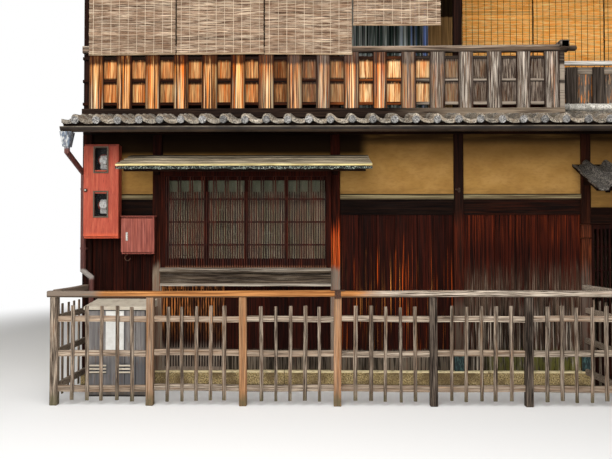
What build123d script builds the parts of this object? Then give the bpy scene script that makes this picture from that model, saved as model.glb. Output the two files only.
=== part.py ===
from build123d import *
import os
from math import atan, ceil, cos, pi, sin

# A Kyoto town house in a street row: board walls and a latticed bay window below, a tiled pent
# roof and a board balcony hung with reed blinds above, and a slatted fence in front.
# Millimetres. X runs along the street, Y into the house, Z up from the ground.

os.makedirs("parts", exist_ok=True)

# Driving dimensions of the house
FRONTAGE = 6895.0
DEPTH = 7880.0
POST = 105.0
POST_CHAMFER = 5.0
PARTY_THICK = 120.0
SEAT = 0.3
MOVING_GAP = 6.0

# Widths of the front bays between post centre lines, from the left corner post
BAY_WIDTHS = [778.0, 1965.0, 1355.0, 1390.0]
BALCONY_STOP = 240.0

# Heights
PLINTH_TOP = 160.0
FLOOR_THICK = 100.0
BOARDS_TOP = 1870.0
LINTEL_TOP = 2040.0
RAIL_BOARD_TOP = 2100.0
POSTS_TOP = 2760.0
PLATE_TOP = 2940.0
DECK_TOP = 3040.0
BALCONY_RAIL_TOP = 3736.0
BALCONY_RAIL_DEEP = 76.0
EAVES_BEAM_TOP = 5080.0
EAVES_BEAM_DEEP = 150.0
UPPER_HEAD_DEEP = 120.0
UPPER_HEAD_GAP = 60.0
UPPER_HEAD = EAVES_BEAM_TOP - EAVES_BEAM_DEEP - UPPER_HEAD_GAP - UPPER_HEAD_DEEP
UPPER_PANE_FOOT = 320.0
UPPER_PANE_SPLIT = 980.0
UPPER_PANE_BAR = 40.0
UPPER_PANE_EDGE = 60.0

# Thickness of the rails that run behind the bars of a lattice leaf
LEAF_RAIL = 8.0

# Depths of the wall layers behind the faces of the posts
BOARD_THICK = 30.0
BOARD_SETBACK = 35.0
PLASTER_THICK = 60.0
PLASTER_SETBACK = 30.0
LINTEL_THICK = 75.0
LINTEL_SETBACK = 12.0
PLINTH_OUT = 30.0
STONE_JOINT = 6.0
STONE_COUNT = 5

# Roofs
TILE_COLUMNS = 32
TILE_PITCH = FRONTAGE / TILE_COLUMNS
TILE_TROUGH = 24.0
TILE_RISE = 38.0
PENT_SLOPE = 0.2
PENT_OUT = 610.0
PENT_TOP_Z = 2905.0
PENT_BOARD = 20.0
PENT_RAFTER_DEEP = 60.0
PENT_RAFTER_WIDE = 45.0
PENT_RAFTER_PITCH = 328.0
ENTRANCE_SETBACK = 550.0
ROOF_SLOPE = 0.45
ROOF_OUT = 600.0
ROOF_BOARD = 30.0
ROOF_TROUGH = 40.0
ROOF_RISE = 45.0
ROOF_RAFTER = 60.0
ROOF_RAFTER_PITCH = 455.0
RIDGE_HALF = 130.0
UPPER_SETBACK = 950.0

# Bay window and canopy
WINDOW_SILL = 1290.0
WINDOW_HEAD = 2365.0
WINDOW_OUT = 70.0
CANOPY_OUT = 600.0
CANOPY_RISE = 165.0
CANOPY_DROP = 180.0
CANOPY_THICK = 26.0
CANOPY_PAST_LEFT = 290.0
CANOPY_PAST_RIGHT = 355.0

# Entrance
DOOR_HEAD = 1770.0
THRESHOLD_TOP = 90.0
DOOR_THICK = 30.0
DOOR_LAP = 59.0
ENTRANCE_ROOF_OUT = 660.0
ENTRANCE_ROOF_BACK_Z = 2420.0
ENTRANCE_ROOF_SLOPE = 0.5

# Balcony
BALCONY_OUT = 35.0
BALCONY_BOARD_WIDE = 160.0
BALCONY_BOARD_THICK = 18.0
BALCONY_BOARDS = 17
BALCONY_RAIL = 30.0
BALCONY_RAIL_INSET = 57.0

# Fence
FENCE_OUT = 900.0
FENCE_INSET = 54.5
FENCE_BAYS = [930.0, 892.0, 911.0, 916.0, 910.0, 907.0]
FENCE_POST = 72.0
FENCE_TOP = 1100.0
FENCE_TOP_RAIL = 60.0
FENCE_RAIL_DEEP = 58.0
FENCE_RAIL_ZS = [165.0, 501.0, 828.0]
PICKET_WIDE = 38.0
PICKET_THICK = 14.0
PICKET_COUNT = 5
RETURN_PICKETS = 5
PICKET_Z = (47.0, 953.0)
FENCE_RAIL_THICK = 40.0

# Planes of the building
HALF = FRONTAGE / 2
FRONT = -DEPTH / 2
BACK = DEPTH / 2
UPPER_FRONT = FRONT + UPPER_SETBACK
BALCONY_FACE = FRONT - BALCONY_OUT
INNER = HALF - PARTY_THICK
CORNER_X = HALF - POST / 2
FRONT_POSTS = [-CORNER_X + sum(BAY_WIDTHS[:bays]) for bays in range(len(BAY_WIDTHS) + 1)] + [CORNER_X]
ENTRANCE_POST_X = FRONT_POSTS[4]
BALCONY_END_X = ENTRANCE_POST_X - BALCONY_STOP
BACK_POSTS = [-CORNER_X, -CORNER_X / 2, 0.0, CORNER_X / 2, CORNER_X]


def front_plane(y):
    """Plane that stands across the house at y; its sketch axes are X and Z, and it looks at the street."""
    return Plane.XZ.offset(-y)


def side_plane(x):
    """Plane that stands along the house at x; its sketch axes are Y and Z, and it looks to the right."""
    return Plane.YZ.offset(x)


def block(x, y, z):
    """Cuboid between pairs of X, Y and Z values, added to the part being built."""
    with Locations(((x[0] + x[1]) / 2, (y[0] + y[1]) / 2, (z[0] + z[1]) / 2)):
        Box(abs(x[1] - x[0]), abs(y[1] - y[0]), abs(z[1] - z[0]))


def panel(x, z, mode=Mode.ADD):
    """Rectangle between pairs of X and Z values, added to the sketch being drawn or cut from it."""
    with Locations(((x[0] + x[1]) / 2, (z[0] + z[1]) / 2)):
        Rectangle(abs(x[1] - x[0]), abs(z[1] - z[0]), mode=mode)


def lattice_leaf(x, z, back, thick, frame, bar, pitch, rail_zs):
    """Framed leaf with upright bars in its opening and thin rails behind them, added to the part.

    x, z and back give its place, thick its thickness, frame the width of its stiles, foot and head,
    bar and pitch the bars, and rail_zs the centre heights of the rails.
    """
    stile, foot, head = frame
    opening_x = (x[0] + stile, x[1] - stile)
    opening_z = (z[0] + foot, z[1] - head)
    with BuildSketch(front_plane(back)) as outline:
        panel(x, z)
        panel(opening_x, opening_z, Mode.SUBTRACT)
    extrude(outline.sketch, amount=thick)
    with BuildSketch(front_plane(back - LEAF_RAIL - SEAT)) as bars:
        count = int((opening_x[1] - opening_x[0]) / pitch)
        with Locations(((opening_x[0] + opening_x[1]) / 2, (opening_z[0] + opening_z[1]) / 2)):
            with GridLocations(pitch, 1, count, 1):
                Rectangle(bar, opening_z[1] - opening_z[0] - 2 * SEAT)
    extrude(bars.sketch, amount=thick - LEAF_RAIL - SEAT)
    for rail_z in rail_zs:
        block((opening_x[0] + SEAT, opening_x[1] - SEAT), (back - LEAF_RAIL, back), (rail_z - 10, rail_z + 10))


def bay(left, right):
    """Clear span between the facing sides of two posts, given by their centre lines."""
    return (left + POST / 2, right - POST / 2)


def roof_z(y):
    """Height of the underside of the main roof boards above the line y."""
    return EAVES_BEAM_TOP + ROOF_SLOPE * (DEPTH / 2 + BALCONY_OUT - abs(y))


def pent_z(y):
    """Height of the tile bed of the front pent roof at y."""
    return PENT_TOP_Z + PENT_SLOPE * (y - FRONT)


ROLL_SIDES = 4
ROLL_WIDE = TILE_PITCH * 0.4
ROLL_PLACE = 0.645
KNOB_R = 38.0
KNOB_OUT = 14.0
KNOB_LIFT = 22.0


def roll_centres(first, count):
    """Centre lines of the rolls of a run of tiles that starts at first."""
    return [first + (tile + ROLL_PLACE) * TILE_PITCH for tile in range(count)]


def tile_line(trough, rise, first, count):
    """Closed outline of S-tiles on a flat bed: a hollow and a faceted roll in each pitch, drawn from first."""
    points = [(first, 0), (first, trough)]
    for centre in roll_centres(first, count):
        points.append((centre - ROLL_WIDE, trough * 0.55))
        for side in range(ROLL_SIDES + 1):
            turn = pi * side / ROLL_SIDES
            points.append((centre - ROLL_WIDE / 2 * cos(turn), trough + rise * sin(turn)))
    points.append((first + count * TILE_PITCH, trough * 0.8))
    points.append((first + count * TILE_PITCH, 0))
    Polyline(*points, close=True)


# Stone plinth under the front and back walls, in dressed stones with open joints
with BuildPart() as stone_plinth:
    threshold_left = ENTRANCE_POST_X + POST / 2
    stone_runs = [
        (-HALF, threshold_left, FRONT - PLINTH_OUT, FRONT + POST),
        (-HALF, HALF, BACK - POST, BACK + PLINTH_OUT),
    ]
    for run_left, run_right, stone_front, stone_back in stone_runs:
        stone_long = (run_right - run_left) / STONE_COUNT
        for stone in range(STONE_COUNT):
            left = run_left + stone * stone_long
            right = left + stone_long - (STONE_JOINT if stone < STONE_COUNT - 1 else 0)
            block((left, right), (stone_front, stone_back), (0, PLINTH_TOP))
    block((CORNER_X - POST / 2, HALF), (FRONT - PLINTH_OUT, FRONT + POST), (0, PLINTH_TOP))
    long_edges = stone_plinth.edges().filter_by(Axis.X).group_by(Axis.Z)[-1]
    chamfer(long_edges, 8)
stone_plinth.part.label = "stone_plinth"
export_step(stone_plinth.part, "parts/stone_plinth.step")

# Ground floor slab between the plinths and the party walls
with BuildPart() as ground_floor:
    block((-INNER, INNER), (FRONT + POST, BACK - POST), (0, FLOOR_THICK))
ground_floor.part.label = "ground_floor"
export_step(ground_floor.part, "parts/ground_floor.step")

# Posts of the front and back walls, standing on the plinths
with BuildPart() as ground_posts:
    with BuildSketch(Plane.XY.offset(PLINTH_TOP)):
        with Locations(*[(x, FRONT + POST / 2) for x in FRONT_POSTS]):
            Rectangle(POST, POST)
        with Locations(*[(x, BACK - POST / 2) for x in BACK_POSTS]):
            Rectangle(POST, POST)
    extrude(amount=POSTS_TOP - PLINTH_TOP)
    upright_edges = ground_posts.edges().filter_by(Axis.Z).group_by(Axis.Y)
    chamfer(upright_edges[0] + upright_edges[-1], POST_CHAMFER)
ground_posts.part.label = "ground_posts"
export_step(ground_posts.part, "parts/ground_posts.step")

# Wall plates on the posts; the front one is lower where the pent roof runs on over the entrance
PLATE_LOW_TOP = PENT_TOP_Z - PENT_BOARD - 1
with BuildPart() as wall_plates:
    with BuildSketch(front_plane(FRONT + POST)):
        with BuildLine():
            Polyline(
                (-HALF, POSTS_TOP),
                (HALF, POSTS_TOP),
                (HALF, PLATE_LOW_TOP),
                (BALCONY_END_X, PLATE_LOW_TOP),
                (BALCONY_END_X, PLATE_TOP),
                (-HALF, PLATE_TOP),
                close=True,
            )
        make_face()
    extrude(amount=POST)
    with BuildSketch(front_plane(BACK)):
        panel((-HALF, HALF), (POSTS_TOP, PLATE_TOP))
    extrude(amount=POST)
wall_plates.part.label = "wall_plates"
export_step(wall_plates.part, "parts/wall_plates.step")

# Vertical board walls of the left bay and the two bays right of the window, and under the window
BOARD_BAYS = [bay(FRONT_POSTS[0], FRONT_POSTS[1]), bay(FRONT_POSTS[2], FRONT_POSTS[3]),
              bay(FRONT_POSTS[3], FRONT_POSTS[4])]
WINDOW_BAY = bay(FRONT_POSTS[1], FRONT_POSTS[2])
SILL_DEEP = 198.0
LOWER_TOP = WINDOW_SILL - SILL_DEEP
LOWER_LATTICE_WIDE = 684.5
LOWER_SPLIT = WINDOW_BAY[0] + LOWER_LATTICE_WIDE
with BuildPart() as front_board_wall:
    with BuildSketch(front_plane(FRONT + BOARD_SETBACK + BOARD_THICK)):
        for span in BOARD_BAYS:
            panel(span, (PLINTH_TOP, BOARDS_TOP))
    extrude(amount=BOARD_THICK)
    with BuildSketch(Plane.XY.offset(PLINTH_TOP)):
        with BuildLine():
            Polyline(
                (WINDOW_BAY[0], FRONT + 75),
                (WINDOW_BAY[1], FRONT + 75),
                (WINDOW_BAY[1], FRONT + 30),
                (LOWER_SPLIT + SEAT, FRONT + 30),
                (LOWER_SPLIT + SEAT, FRONT + 55),
                (WINDOW_BAY[0], FRONT + 55),
                close=True,
            )
        make_face()
    extrude(amount=LOWER_TOP - PLINTH_TOP)
front_board_wall.part.label = "front_board_wall"
export_step(front_board_wall.part, "parts/front_board_wall.step")

# Dark lintel board and pale rail over each board wall
with BuildPart() as front_lintels:
    for span in BOARD_BAYS:
        with BuildSketch(side_plane(span[0])):
            with BuildLine():
                Polyline(
                    (FRONT + LINTEL_SETBACK + 14, BOARDS_TOP),
                    (FRONT + LINTEL_SETBACK + LINTEL_THICK, BOARDS_TOP),
                    (FRONT + LINTEL_SETBACK + LINTEL_THICK, RAIL_BOARD_TOP),
                    (FRONT + LINTEL_SETBACK + 8, RAIL_BOARD_TOP),
                    (FRONT + LINTEL_SETBACK, RAIL_BOARD_TOP - 10),
                    (FRONT + LINTEL_SETBACK, LINTEL_TOP),
                    (FRONT + LINTEL_SETBACK + 14, LINTEL_TOP),
                    close=True,
                )
            make_face()
        extrude(amount=span[1] - span[0])
front_lintels.part.label = "front_lintels"
export_step(front_lintels.part, "parts/front_lintels.step")

# Plaster panels between the rails and the wall plate, and above the window canopy
ENTRANCE_BAY = bay(FRONT_POSTS[4], FRONT_POSTS[5])
ENTRANCE_LINTEL_TOP = 1950.0
with BuildPart() as front_plaster:
    with BuildSketch(front_plane(FRONT + PLASTER_SETBACK + PLASTER_THICK)):
        for span in BOARD_BAYS:
            panel(span, (RAIL_BOARD_TOP, POSTS_TOP))
        panel(WINDOW_BAY, (WINDOW_HEAD, POSTS_TOP))
        panel(ENTRANCE_BAY, (ENTRANCE_LINTEL_TOP, POSTS_TOP))
    extrude(amount=PLASTER_THICK)
front_plaster.part.label = "front_plaster"
export_step(front_plaster.part, "parts/front_plaster.step")

# Bay window: outer frame that stands out from the posts
WINDOW_FACE = FRONT - WINDOW_OUT
FRAME_BAR = 45.0
HEAD_BAR = 75.0
LATTICE_THICK = 20.0
WINDOW_FRAME_BACK = FRONT + 20
with BuildPart() as window_frame:
    with BuildSketch(front_plane(WINDOW_FRAME_BACK)):
        panel((WINDOW_BAY[0], WINDOW_BAY[0] + FRAME_BAR), (WINDOW_SILL, WINDOW_HEAD))
        panel((WINDOW_BAY[1] - FRAME_BAR, WINDOW_BAY[1]), (WINDOW_SILL, WINDOW_HEAD))
        panel(WINDOW_BAY, (WINDOW_HEAD - HEAD_BAR, WINDOW_HEAD))
    extrude(amount=WINDOW_OUT + 20)
window_frame.part.label = "window_frame"
export_step(window_frame.part, "parts/window_frame.step")

# Lattice of the window: two long bars, then three short ones, all along it, on three rails behind them
LATTICE_BAR = 12.0
LATTICE_PITCH = 26.0
LATTICE_GROUP = 5
LATTICE_RAIL_THICK = 14.0
LATTICE_RAIL_DEEP = 18.0
LATTICE_X = (WINDOW_BAY[0] + FRAME_BAR, WINDOW_BAY[1] - FRAME_BAR)
LATTICE_Z = (WINDOW_SILL, WINDOW_HEAD - HEAD_BAR)
LATTICE_RAIL_STEPS = 4
SHORT_BAR_DROP = 170.0
lattice_rail_step = (LATTICE_Z[1] - LATTICE_Z[0]) / LATTICE_RAIL_STEPS
lattice_count = int((LATTICE_X[1] - LATTICE_X[0]) / LATTICE_PITCH)
lattice_start = (LATTICE_X[0] + LATTICE_X[1] - (lattice_count - 1) * LATTICE_PITCH) / 2
with BuildPart() as window_lattice:
    with BuildSketch(front_plane(WINDOW_FACE + 8 + LATTICE_THICK)):
        for is_long, bar_top in ((True, LATTICE_Z[1]), (False, LATTICE_Z[1] - SHORT_BAR_DROP)):
            bar_xs = [
                lattice_start + bar * LATTICE_PITCH
                for bar in range(lattice_count)
                if (bar % LATTICE_GROUP < 2) == is_long
            ]
            with Locations(*[(bar_x, (LATTICE_Z[0] + bar_top) / 2) for bar_x in bar_xs]):
                Rectangle(LATTICE_BAR, bar_top - LATTICE_Z[0])
    extrude(amount=LATTICE_THICK)
    with BuildSketch(front_plane(WINDOW_FACE + 8 + LATTICE_THICK + SEAT + LATTICE_RAIL_THICK)):
        for step in range(1, LATTICE_RAIL_STEPS):
            with Locations(((LATTICE_X[0] + LATTICE_X[1]) / 2, LATTICE_Z[0] + step * lattice_rail_step)):
                Rectangle(LATTICE_X[1] - LATTICE_X[0], LATTICE_RAIL_DEEP)
    extrude(amount=LATTICE_RAIL_THICK)
window_lattice.part.label = "window_lattice"
export_step(window_lattice.part, "parts/window_lattice.step")

# Four sliding sashes behind the lattice, in one plane
SASH_THICK = 28.0
SASH_BACK = FRONT + 20.0
SASH_STILE = 40.0
with BuildPart() as window_sashes:
    with BuildSketch(front_plane(SASH_BACK)):
        panel(LATTICE_X, LATTICE_Z)
        sash_wide = (LATTICE_X[1] - LATTICE_X[0]) / 4
        for sash in range(4):
            with Locations(
                (LATTICE_X[0] + (sash + 0.5) * sash_wide, (LATTICE_Z[0] + LATTICE_Z[1]) / 2 + 30)
            ):
                Rectangle(sash_wide - SASH_STILE, LATTICE_Z[1] - LATTICE_Z[0] - 140, mode=Mode.SUBTRACT)
    extrude(amount=SASH_THICK)
window_sashes.part.label = "window_sashes"
export_step(window_sashes.part, "parts/window_sashes.step")

# Projecting sill ledge of the bay window, sloped to shed water, with the deep board below it
LEDGE_OUT = 118.0
LEDGE_DEEP = 52.0
SILL_BOARD_Z = (LOWER_TOP, WINDOW_SILL - LEDGE_DEEP)
LEDGE_X = (WINDOW_BAY[0] + SEAT, WINDOW_BAY[1] - SEAT)
SILL_BOARD_OUT = 84.0
SILL_LIP = 16.0
with BuildPart() as window_sill:
    with BuildSketch(side_plane(LEDGE_X[0])):
        with BuildLine():
            Polyline(
                (FRONT + 60, WINDOW_SILL),
                (WINDOW_FACE - 4, WINDOW_SILL),
                (FRONT - LEDGE_OUT, WINDOW_SILL - 14),
                (FRONT - LEDGE_OUT, WINDOW_SILL - LEDGE_DEEP + 6),
                (FRONT - LEDGE_OUT + 6, WINDOW_SILL - LEDGE_DEEP),
                (FRONT - SILL_BOARD_OUT, WINDOW_SILL - LEDGE_DEEP),
                (FRONT - SILL_BOARD_OUT, SILL_BOARD_Z[0] + SILL_LIP + 6),
                (FRONT - SILL_BOARD_OUT - SILL_LIP, SILL_BOARD_Z[0] + SILL_LIP),
                (FRONT - SILL_BOARD_OUT - SILL_LIP, SILL_BOARD_Z[0]),
                (FRONT + 60, SILL_BOARD_Z[0]),
                close=True,
            )
        make_face()
    extrude(amount=LEDGE_X[1] - LEDGE_X[0])
window_sill.part.label = "window_sill"
export_step(window_sill.part, "parts/window_sill.step")

# Lower lattice at the left under the window, and the plain panel right of it
LOWER_PITCH = 29.0
LOWER_BAR = 15.0
LOWER_FRAME = 30.0
LOWER_THICK = 26.0
LOWER_RAIL_Z = PLINTH_TOP + 235.0
with BuildPart() as lower_lattice:
    lattice_leaf((WINDOW_BAY[0], LOWER_SPLIT), (PLINTH_TOP, LOWER_TOP), FRONT + 48, LOWER_THICK,
                 (LOWER_FRAME, 38, 40), LOWER_BAR, LOWER_PITCH, [LOWER_RAIL_Z])
lower_lattice.part.label = "lower_lattice"
export_step(lower_lattice.part, "parts/lower_lattice.step")

# Board canopy over the window, thin boards with two battens along the front and a drip edge
CANOPY_LEFT = FRONT_POSTS[1] - CANOPY_PAST_LEFT
CANOPY_RIGHT = FRONT_POSTS[2] + CANOPY_PAST_RIGHT
CANOPY_BACK_Z = WINDOW_HEAD + CANOPY_RISE
CANOPY_FRONT_Z = CANOPY_BACK_Z - CANOPY_DROP
BATTEN_WIDE = 38.0
BATTEN_RISE = 14.0
BATTEN_GAP = 16.0


def canopy_top(out):
    """Height of the top of the canopy boards at a distance out from the wall."""
    return CANOPY_BACK_Z - CANOPY_DROP * out / CANOPY_OUT


with BuildPart() as canopy_roof:
    with BuildSketch(side_plane(CANOPY_LEFT)):
        batten_outs = [CANOPY_OUT, CANOPY_OUT - BATTEN_WIDE]
        batten_outs += [out - BATTEN_WIDE - BATTEN_GAP for out in batten_outs]
        batten_line = []
        for out, lifts in zip(reversed(batten_outs), ((0, 1), (1, 0), (0, 1), (1, 0))):
            batten_line += [(FRONT - out, canopy_top(out) + lift * BATTEN_RISE) for lift in lifts]
        with BuildLine():
            Polyline(
                (FRONT, CANOPY_BACK_Z),
                *batten_line,
                (FRONT - CANOPY_OUT + 14, CANOPY_FRONT_Z - 30),
                (FRONT - CANOPY_OUT + 18, CANOPY_FRONT_Z - CANOPY_THICK),
                (FRONT, CANOPY_BACK_Z - CANOPY_THICK - 4),
                close=True,
            )
        make_face()
    extrude(amount=CANOPY_RIGHT - CANOPY_LEFT)
canopy_roof.part.label = "canopy_roof"
export_step(canopy_roof.part, "parts/canopy_roof.step")

# Brackets under the canopy: curved arms from the posts that carry a lengthwise beam
ARM_WIDE = 50.0
ARM_XS = [FRONT_POSTS[1], FRONT_POSTS[2]]
CANOPY_BEAM_Y = FRONT - CANOPY_OUT + 110


def canopy_under(y):
    """Height of the underside of the canopy boards at y."""
    share = (FRONT - y) / (CANOPY_OUT - 18)
    back_z = CANOPY_BACK_Z - CANOPY_THICK - 4
    return back_z + share * (CANOPY_FRONT_Z - CANOPY_THICK - back_z)


with BuildPart() as canopy_frame:
    for arm_x in ARM_XS:
        with BuildSketch(side_plane(arm_x - ARM_WIDE / 2)):
            with BuildLine():
                Line((FRONT, canopy_under(FRONT)), (CANOPY_BEAM_Y - 40, canopy_under(CANOPY_BEAM_Y - 40)))
                Line(
                    (CANOPY_BEAM_Y - 40, canopy_under(CANOPY_BEAM_Y - 40)),
                    (CANOPY_BEAM_Y - 40, canopy_under(CANOPY_BEAM_Y) - 60),
                )
                ThreePointArc(
                    (CANOPY_BEAM_Y - 40, canopy_under(CANOPY_BEAM_Y) - 60),
                    (FRONT - 230, canopy_under(FRONT - 230) - 72),
                    (FRONT, canopy_under(FRONT) - 190),
                )
                Line((FRONT, canopy_under(FRONT) - 190), (FRONT, canopy_under(FRONT)))
            make_face()
        extrude(amount=ARM_WIDE)
    with BuildSketch(side_plane(CANOPY_LEFT + 60)):
        with BuildLine():
            Polyline(
                (CANOPY_BEAM_Y - 25, canopy_under(CANOPY_BEAM_Y - 25)),
                (CANOPY_BEAM_Y + 25, canopy_under(CANOPY_BEAM_Y + 25)),
                (CANOPY_BEAM_Y + 25, canopy_under(CANOPY_BEAM_Y) - 52),
                (CANOPY_BEAM_Y - 25, canopy_under(CANOPY_BEAM_Y) - 52),
                close=True,
            )
        make_face()
    extrude(amount=CANOPY_RIGHT - CANOPY_LEFT - 120)
canopy_frame.part.label = "canopy_frame"
export_step(canopy_frame.part, "parts/canopy_frame.step")

# Front pent roof: S-tiles with round knobs on their noses, running on up to the set-back balcony
# over the entrance
PENT_TILE_END = FRONT - BALCONY_OUT - 10
PENT_RIGHT_END = INNER
RIDGE_STACK_FRONT = FRONT + ENTRANCE_SETBACK - 95


def along_slope(distance, slope):
    """Length measured down a roof slope for a horizontal distance."""
    return distance / cos(atan(slope))


with BuildPart() as front_pent_tiles:
    pent_direction = (0, -1, -PENT_SLOPE)
    eave_plane = Plane(origin=(0, PENT_TILE_END, pent_z(PENT_TILE_END)), x_dir=(1, 0, 0), z_dir=pent_direction)
    with BuildSketch(eave_plane):
        with BuildLine():
            tile_line(TILE_TROUGH, TILE_RISE, -HALF, TILE_COLUMNS)
        make_face()
    extrude(amount=along_slope(FRONT - PENT_OUT - PENT_TILE_END, PENT_SLOPE) * -1)
    nose_plane = Plane(origin=(0, FRONT - PENT_OUT, pent_z(FRONT - PENT_OUT)), x_dir=(1, 0, 0), z_dir=pent_direction)
    with BuildSketch(nose_plane):
        with Locations(*[(centre, TILE_TROUGH + KNOB_LIFT) for centre in roll_centres(-HALF, TILE_COLUMNS)]):
            RegularPolygon(KNOB_R, 8)
    extrude(amount=KNOB_OUT)
    entrance_first = -HALF + ceil((BALCONY_END_X + HALF) / TILE_PITCH) * TILE_PITCH
    entrance_tiles = int((PENT_RIGHT_END - entrance_first) / TILE_PITCH)
    entrance_plane = Plane(origin=(0, RIDGE_STACK_FRONT, pent_z(RIDGE_STACK_FRONT)), x_dir=(1, 0, 0),
                           z_dir=pent_direction)
    with BuildSketch(entrance_plane):
        with BuildLine():
            tile_line(TILE_TROUGH, TILE_RISE, entrance_first, entrance_tiles)
        make_face()
    extrude(amount=along_slope(RIDGE_STACK_FRONT - PENT_TILE_END, PENT_SLOPE))
front_pent_tiles.part.label = "front_pent_tiles"
export_step(front_pent_tiles.part, "parts/front_pent_tiles.step")

# Boards and rafters of the front pent roof
with BuildPart() as front_pent_boards:
    with BuildSketch(side_plane(-HALF)):
        with BuildLine():
            Polyline(
                (FRONT - SEAT, pent_z(FRONT - SEAT)),
                (FRONT - PENT_OUT + 20, pent_z(FRONT - PENT_OUT + 20)),
                (FRONT - PENT_OUT + 20, pent_z(FRONT - PENT_OUT + 20) - PENT_BOARD),
                (FRONT - SEAT, pent_z(FRONT - SEAT) - PENT_BOARD),
                close=True,
            )
        make_face()
    extrude(amount=FRONTAGE)
    with BuildSketch(side_plane(BALCONY_END_X + SEAT)):
        with BuildLine():
            Polyline(
                (FRONT - SEAT, pent_z(FRONT - SEAT)),
                (FRONT + ENTRANCE_SETBACK, pent_z(FRONT + ENTRANCE_SETBACK)),
                (FRONT + ENTRANCE_SETBACK, pent_z(FRONT + ENTRANCE_SETBACK) - PENT_BOARD),
                (FRONT - SEAT, pent_z(FRONT - SEAT) - PENT_BOARD),
                close=True,
            )
        make_face()
    extrude(amount=PENT_RIGHT_END - BALCONY_END_X - SEAT)
    rafter_count = int(FRONTAGE / PENT_RAFTER_PITCH)
    for rafter in range(rafter_count):
        rafter_x = (rafter - (rafter_count - 1) / 2) * PENT_RAFTER_PITCH
        with BuildSketch(side_plane(rafter_x - PENT_RAFTER_WIDE / 2)):
            with BuildLine():
                Polyline(
                    (FRONT - SEAT, pent_z(FRONT - SEAT) - PENT_BOARD),
                    (FRONT - PENT_OUT + 60, pent_z(FRONT - PENT_OUT + 60) - PENT_BOARD),
                    (FRONT - PENT_OUT + 60, pent_z(FRONT - PENT_OUT + 60) - PENT_BOARD - PENT_RAFTER_DEEP + 14),
                    (FRONT - SEAT, pent_z(FRONT - SEAT) - PENT_BOARD - PENT_RAFTER_DEEP),
                    close=True,
                )
            make_face()
        extrude(amount=PENT_RAFTER_WIDE)
    with BuildSketch(side_plane(-HALF)):
        with BuildLine():
            Polyline(
                (FRONT - PENT_OUT + 60, pent_z(FRONT - PENT_OUT + 60) - PENT_BOARD),
                (FRONT - PENT_OUT + 36, pent_z(FRONT - PENT_OUT + 36) - PENT_BOARD),
                (FRONT - PENT_OUT + 36, pent_z(FRONT - PENT_OUT + 60) - PENT_BOARD - 58),
                (FRONT - PENT_OUT + 60, pent_z(FRONT - PENT_OUT + 60) - PENT_BOARD - 58),
                close=True,
            )
        make_face()
    extrude(amount=FRONTAGE)
front_pent_boards.part.label = "front_pent_boards"
export_step(front_pent_boards.part, "parts/front_pent_boards.step")

# Half-round gutter against the eave board, with straps over it
GUTTER_R = 52.0
GUTTER_WALL = 3.0
GUTTER_Y = FRONT - PENT_OUT + 36 - GUTTER_R - SEAT
GUTTER_DROP = 48.0
GUTTER_Z = pent_z(FRONT - PENT_OUT) - GUTTER_DROP
STRAP_PITCH = 1150.0
with BuildPart() as front_gutter:
    with BuildSketch(side_plane(-HALF)):
        with Locations((GUTTER_Y, GUTTER_Z)):
            Circle(GUTTER_R)
            Circle(GUTTER_R - GUTTER_WALL, mode=Mode.SUBTRACT)
        with Locations((GUTTER_Y, GUTTER_Z + GUTTER_R)):
            Rectangle(4 * GUTTER_R, 2 * GUTTER_R, mode=Mode.SUBTRACT)
    extrude(amount=FRONTAGE)
    with Locations(*[(side * (HALF - GUTTER_WALL / 2), GUTTER_Y, GUTTER_Z) for side in (-1, 1)]):
        Cylinder(GUTTER_R - 1, GUTTER_WALL, rotation=(0, 90, 0))
    with Locations((0, GUTTER_Y, GUTTER_Z + GUTTER_R)):
        Box(2 * FRONTAGE, 4 * GUTTER_R, 2 * GUTTER_R, mode=Mode.SUBTRACT)
    for strap in range(6):
        strap_x = (strap - 2.5) * STRAP_PITCH
        block((strap_x - 12, strap_x + 12), (GUTTER_Y - GUTTER_R + 1, GUTTER_Y + GUTTER_R - 1),
              (GUTTER_Z - 3, GUTTER_Z))
front_gutter.part.label = "front_gutter"
export_step(front_gutter.part, "parts/front_gutter.step")

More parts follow.
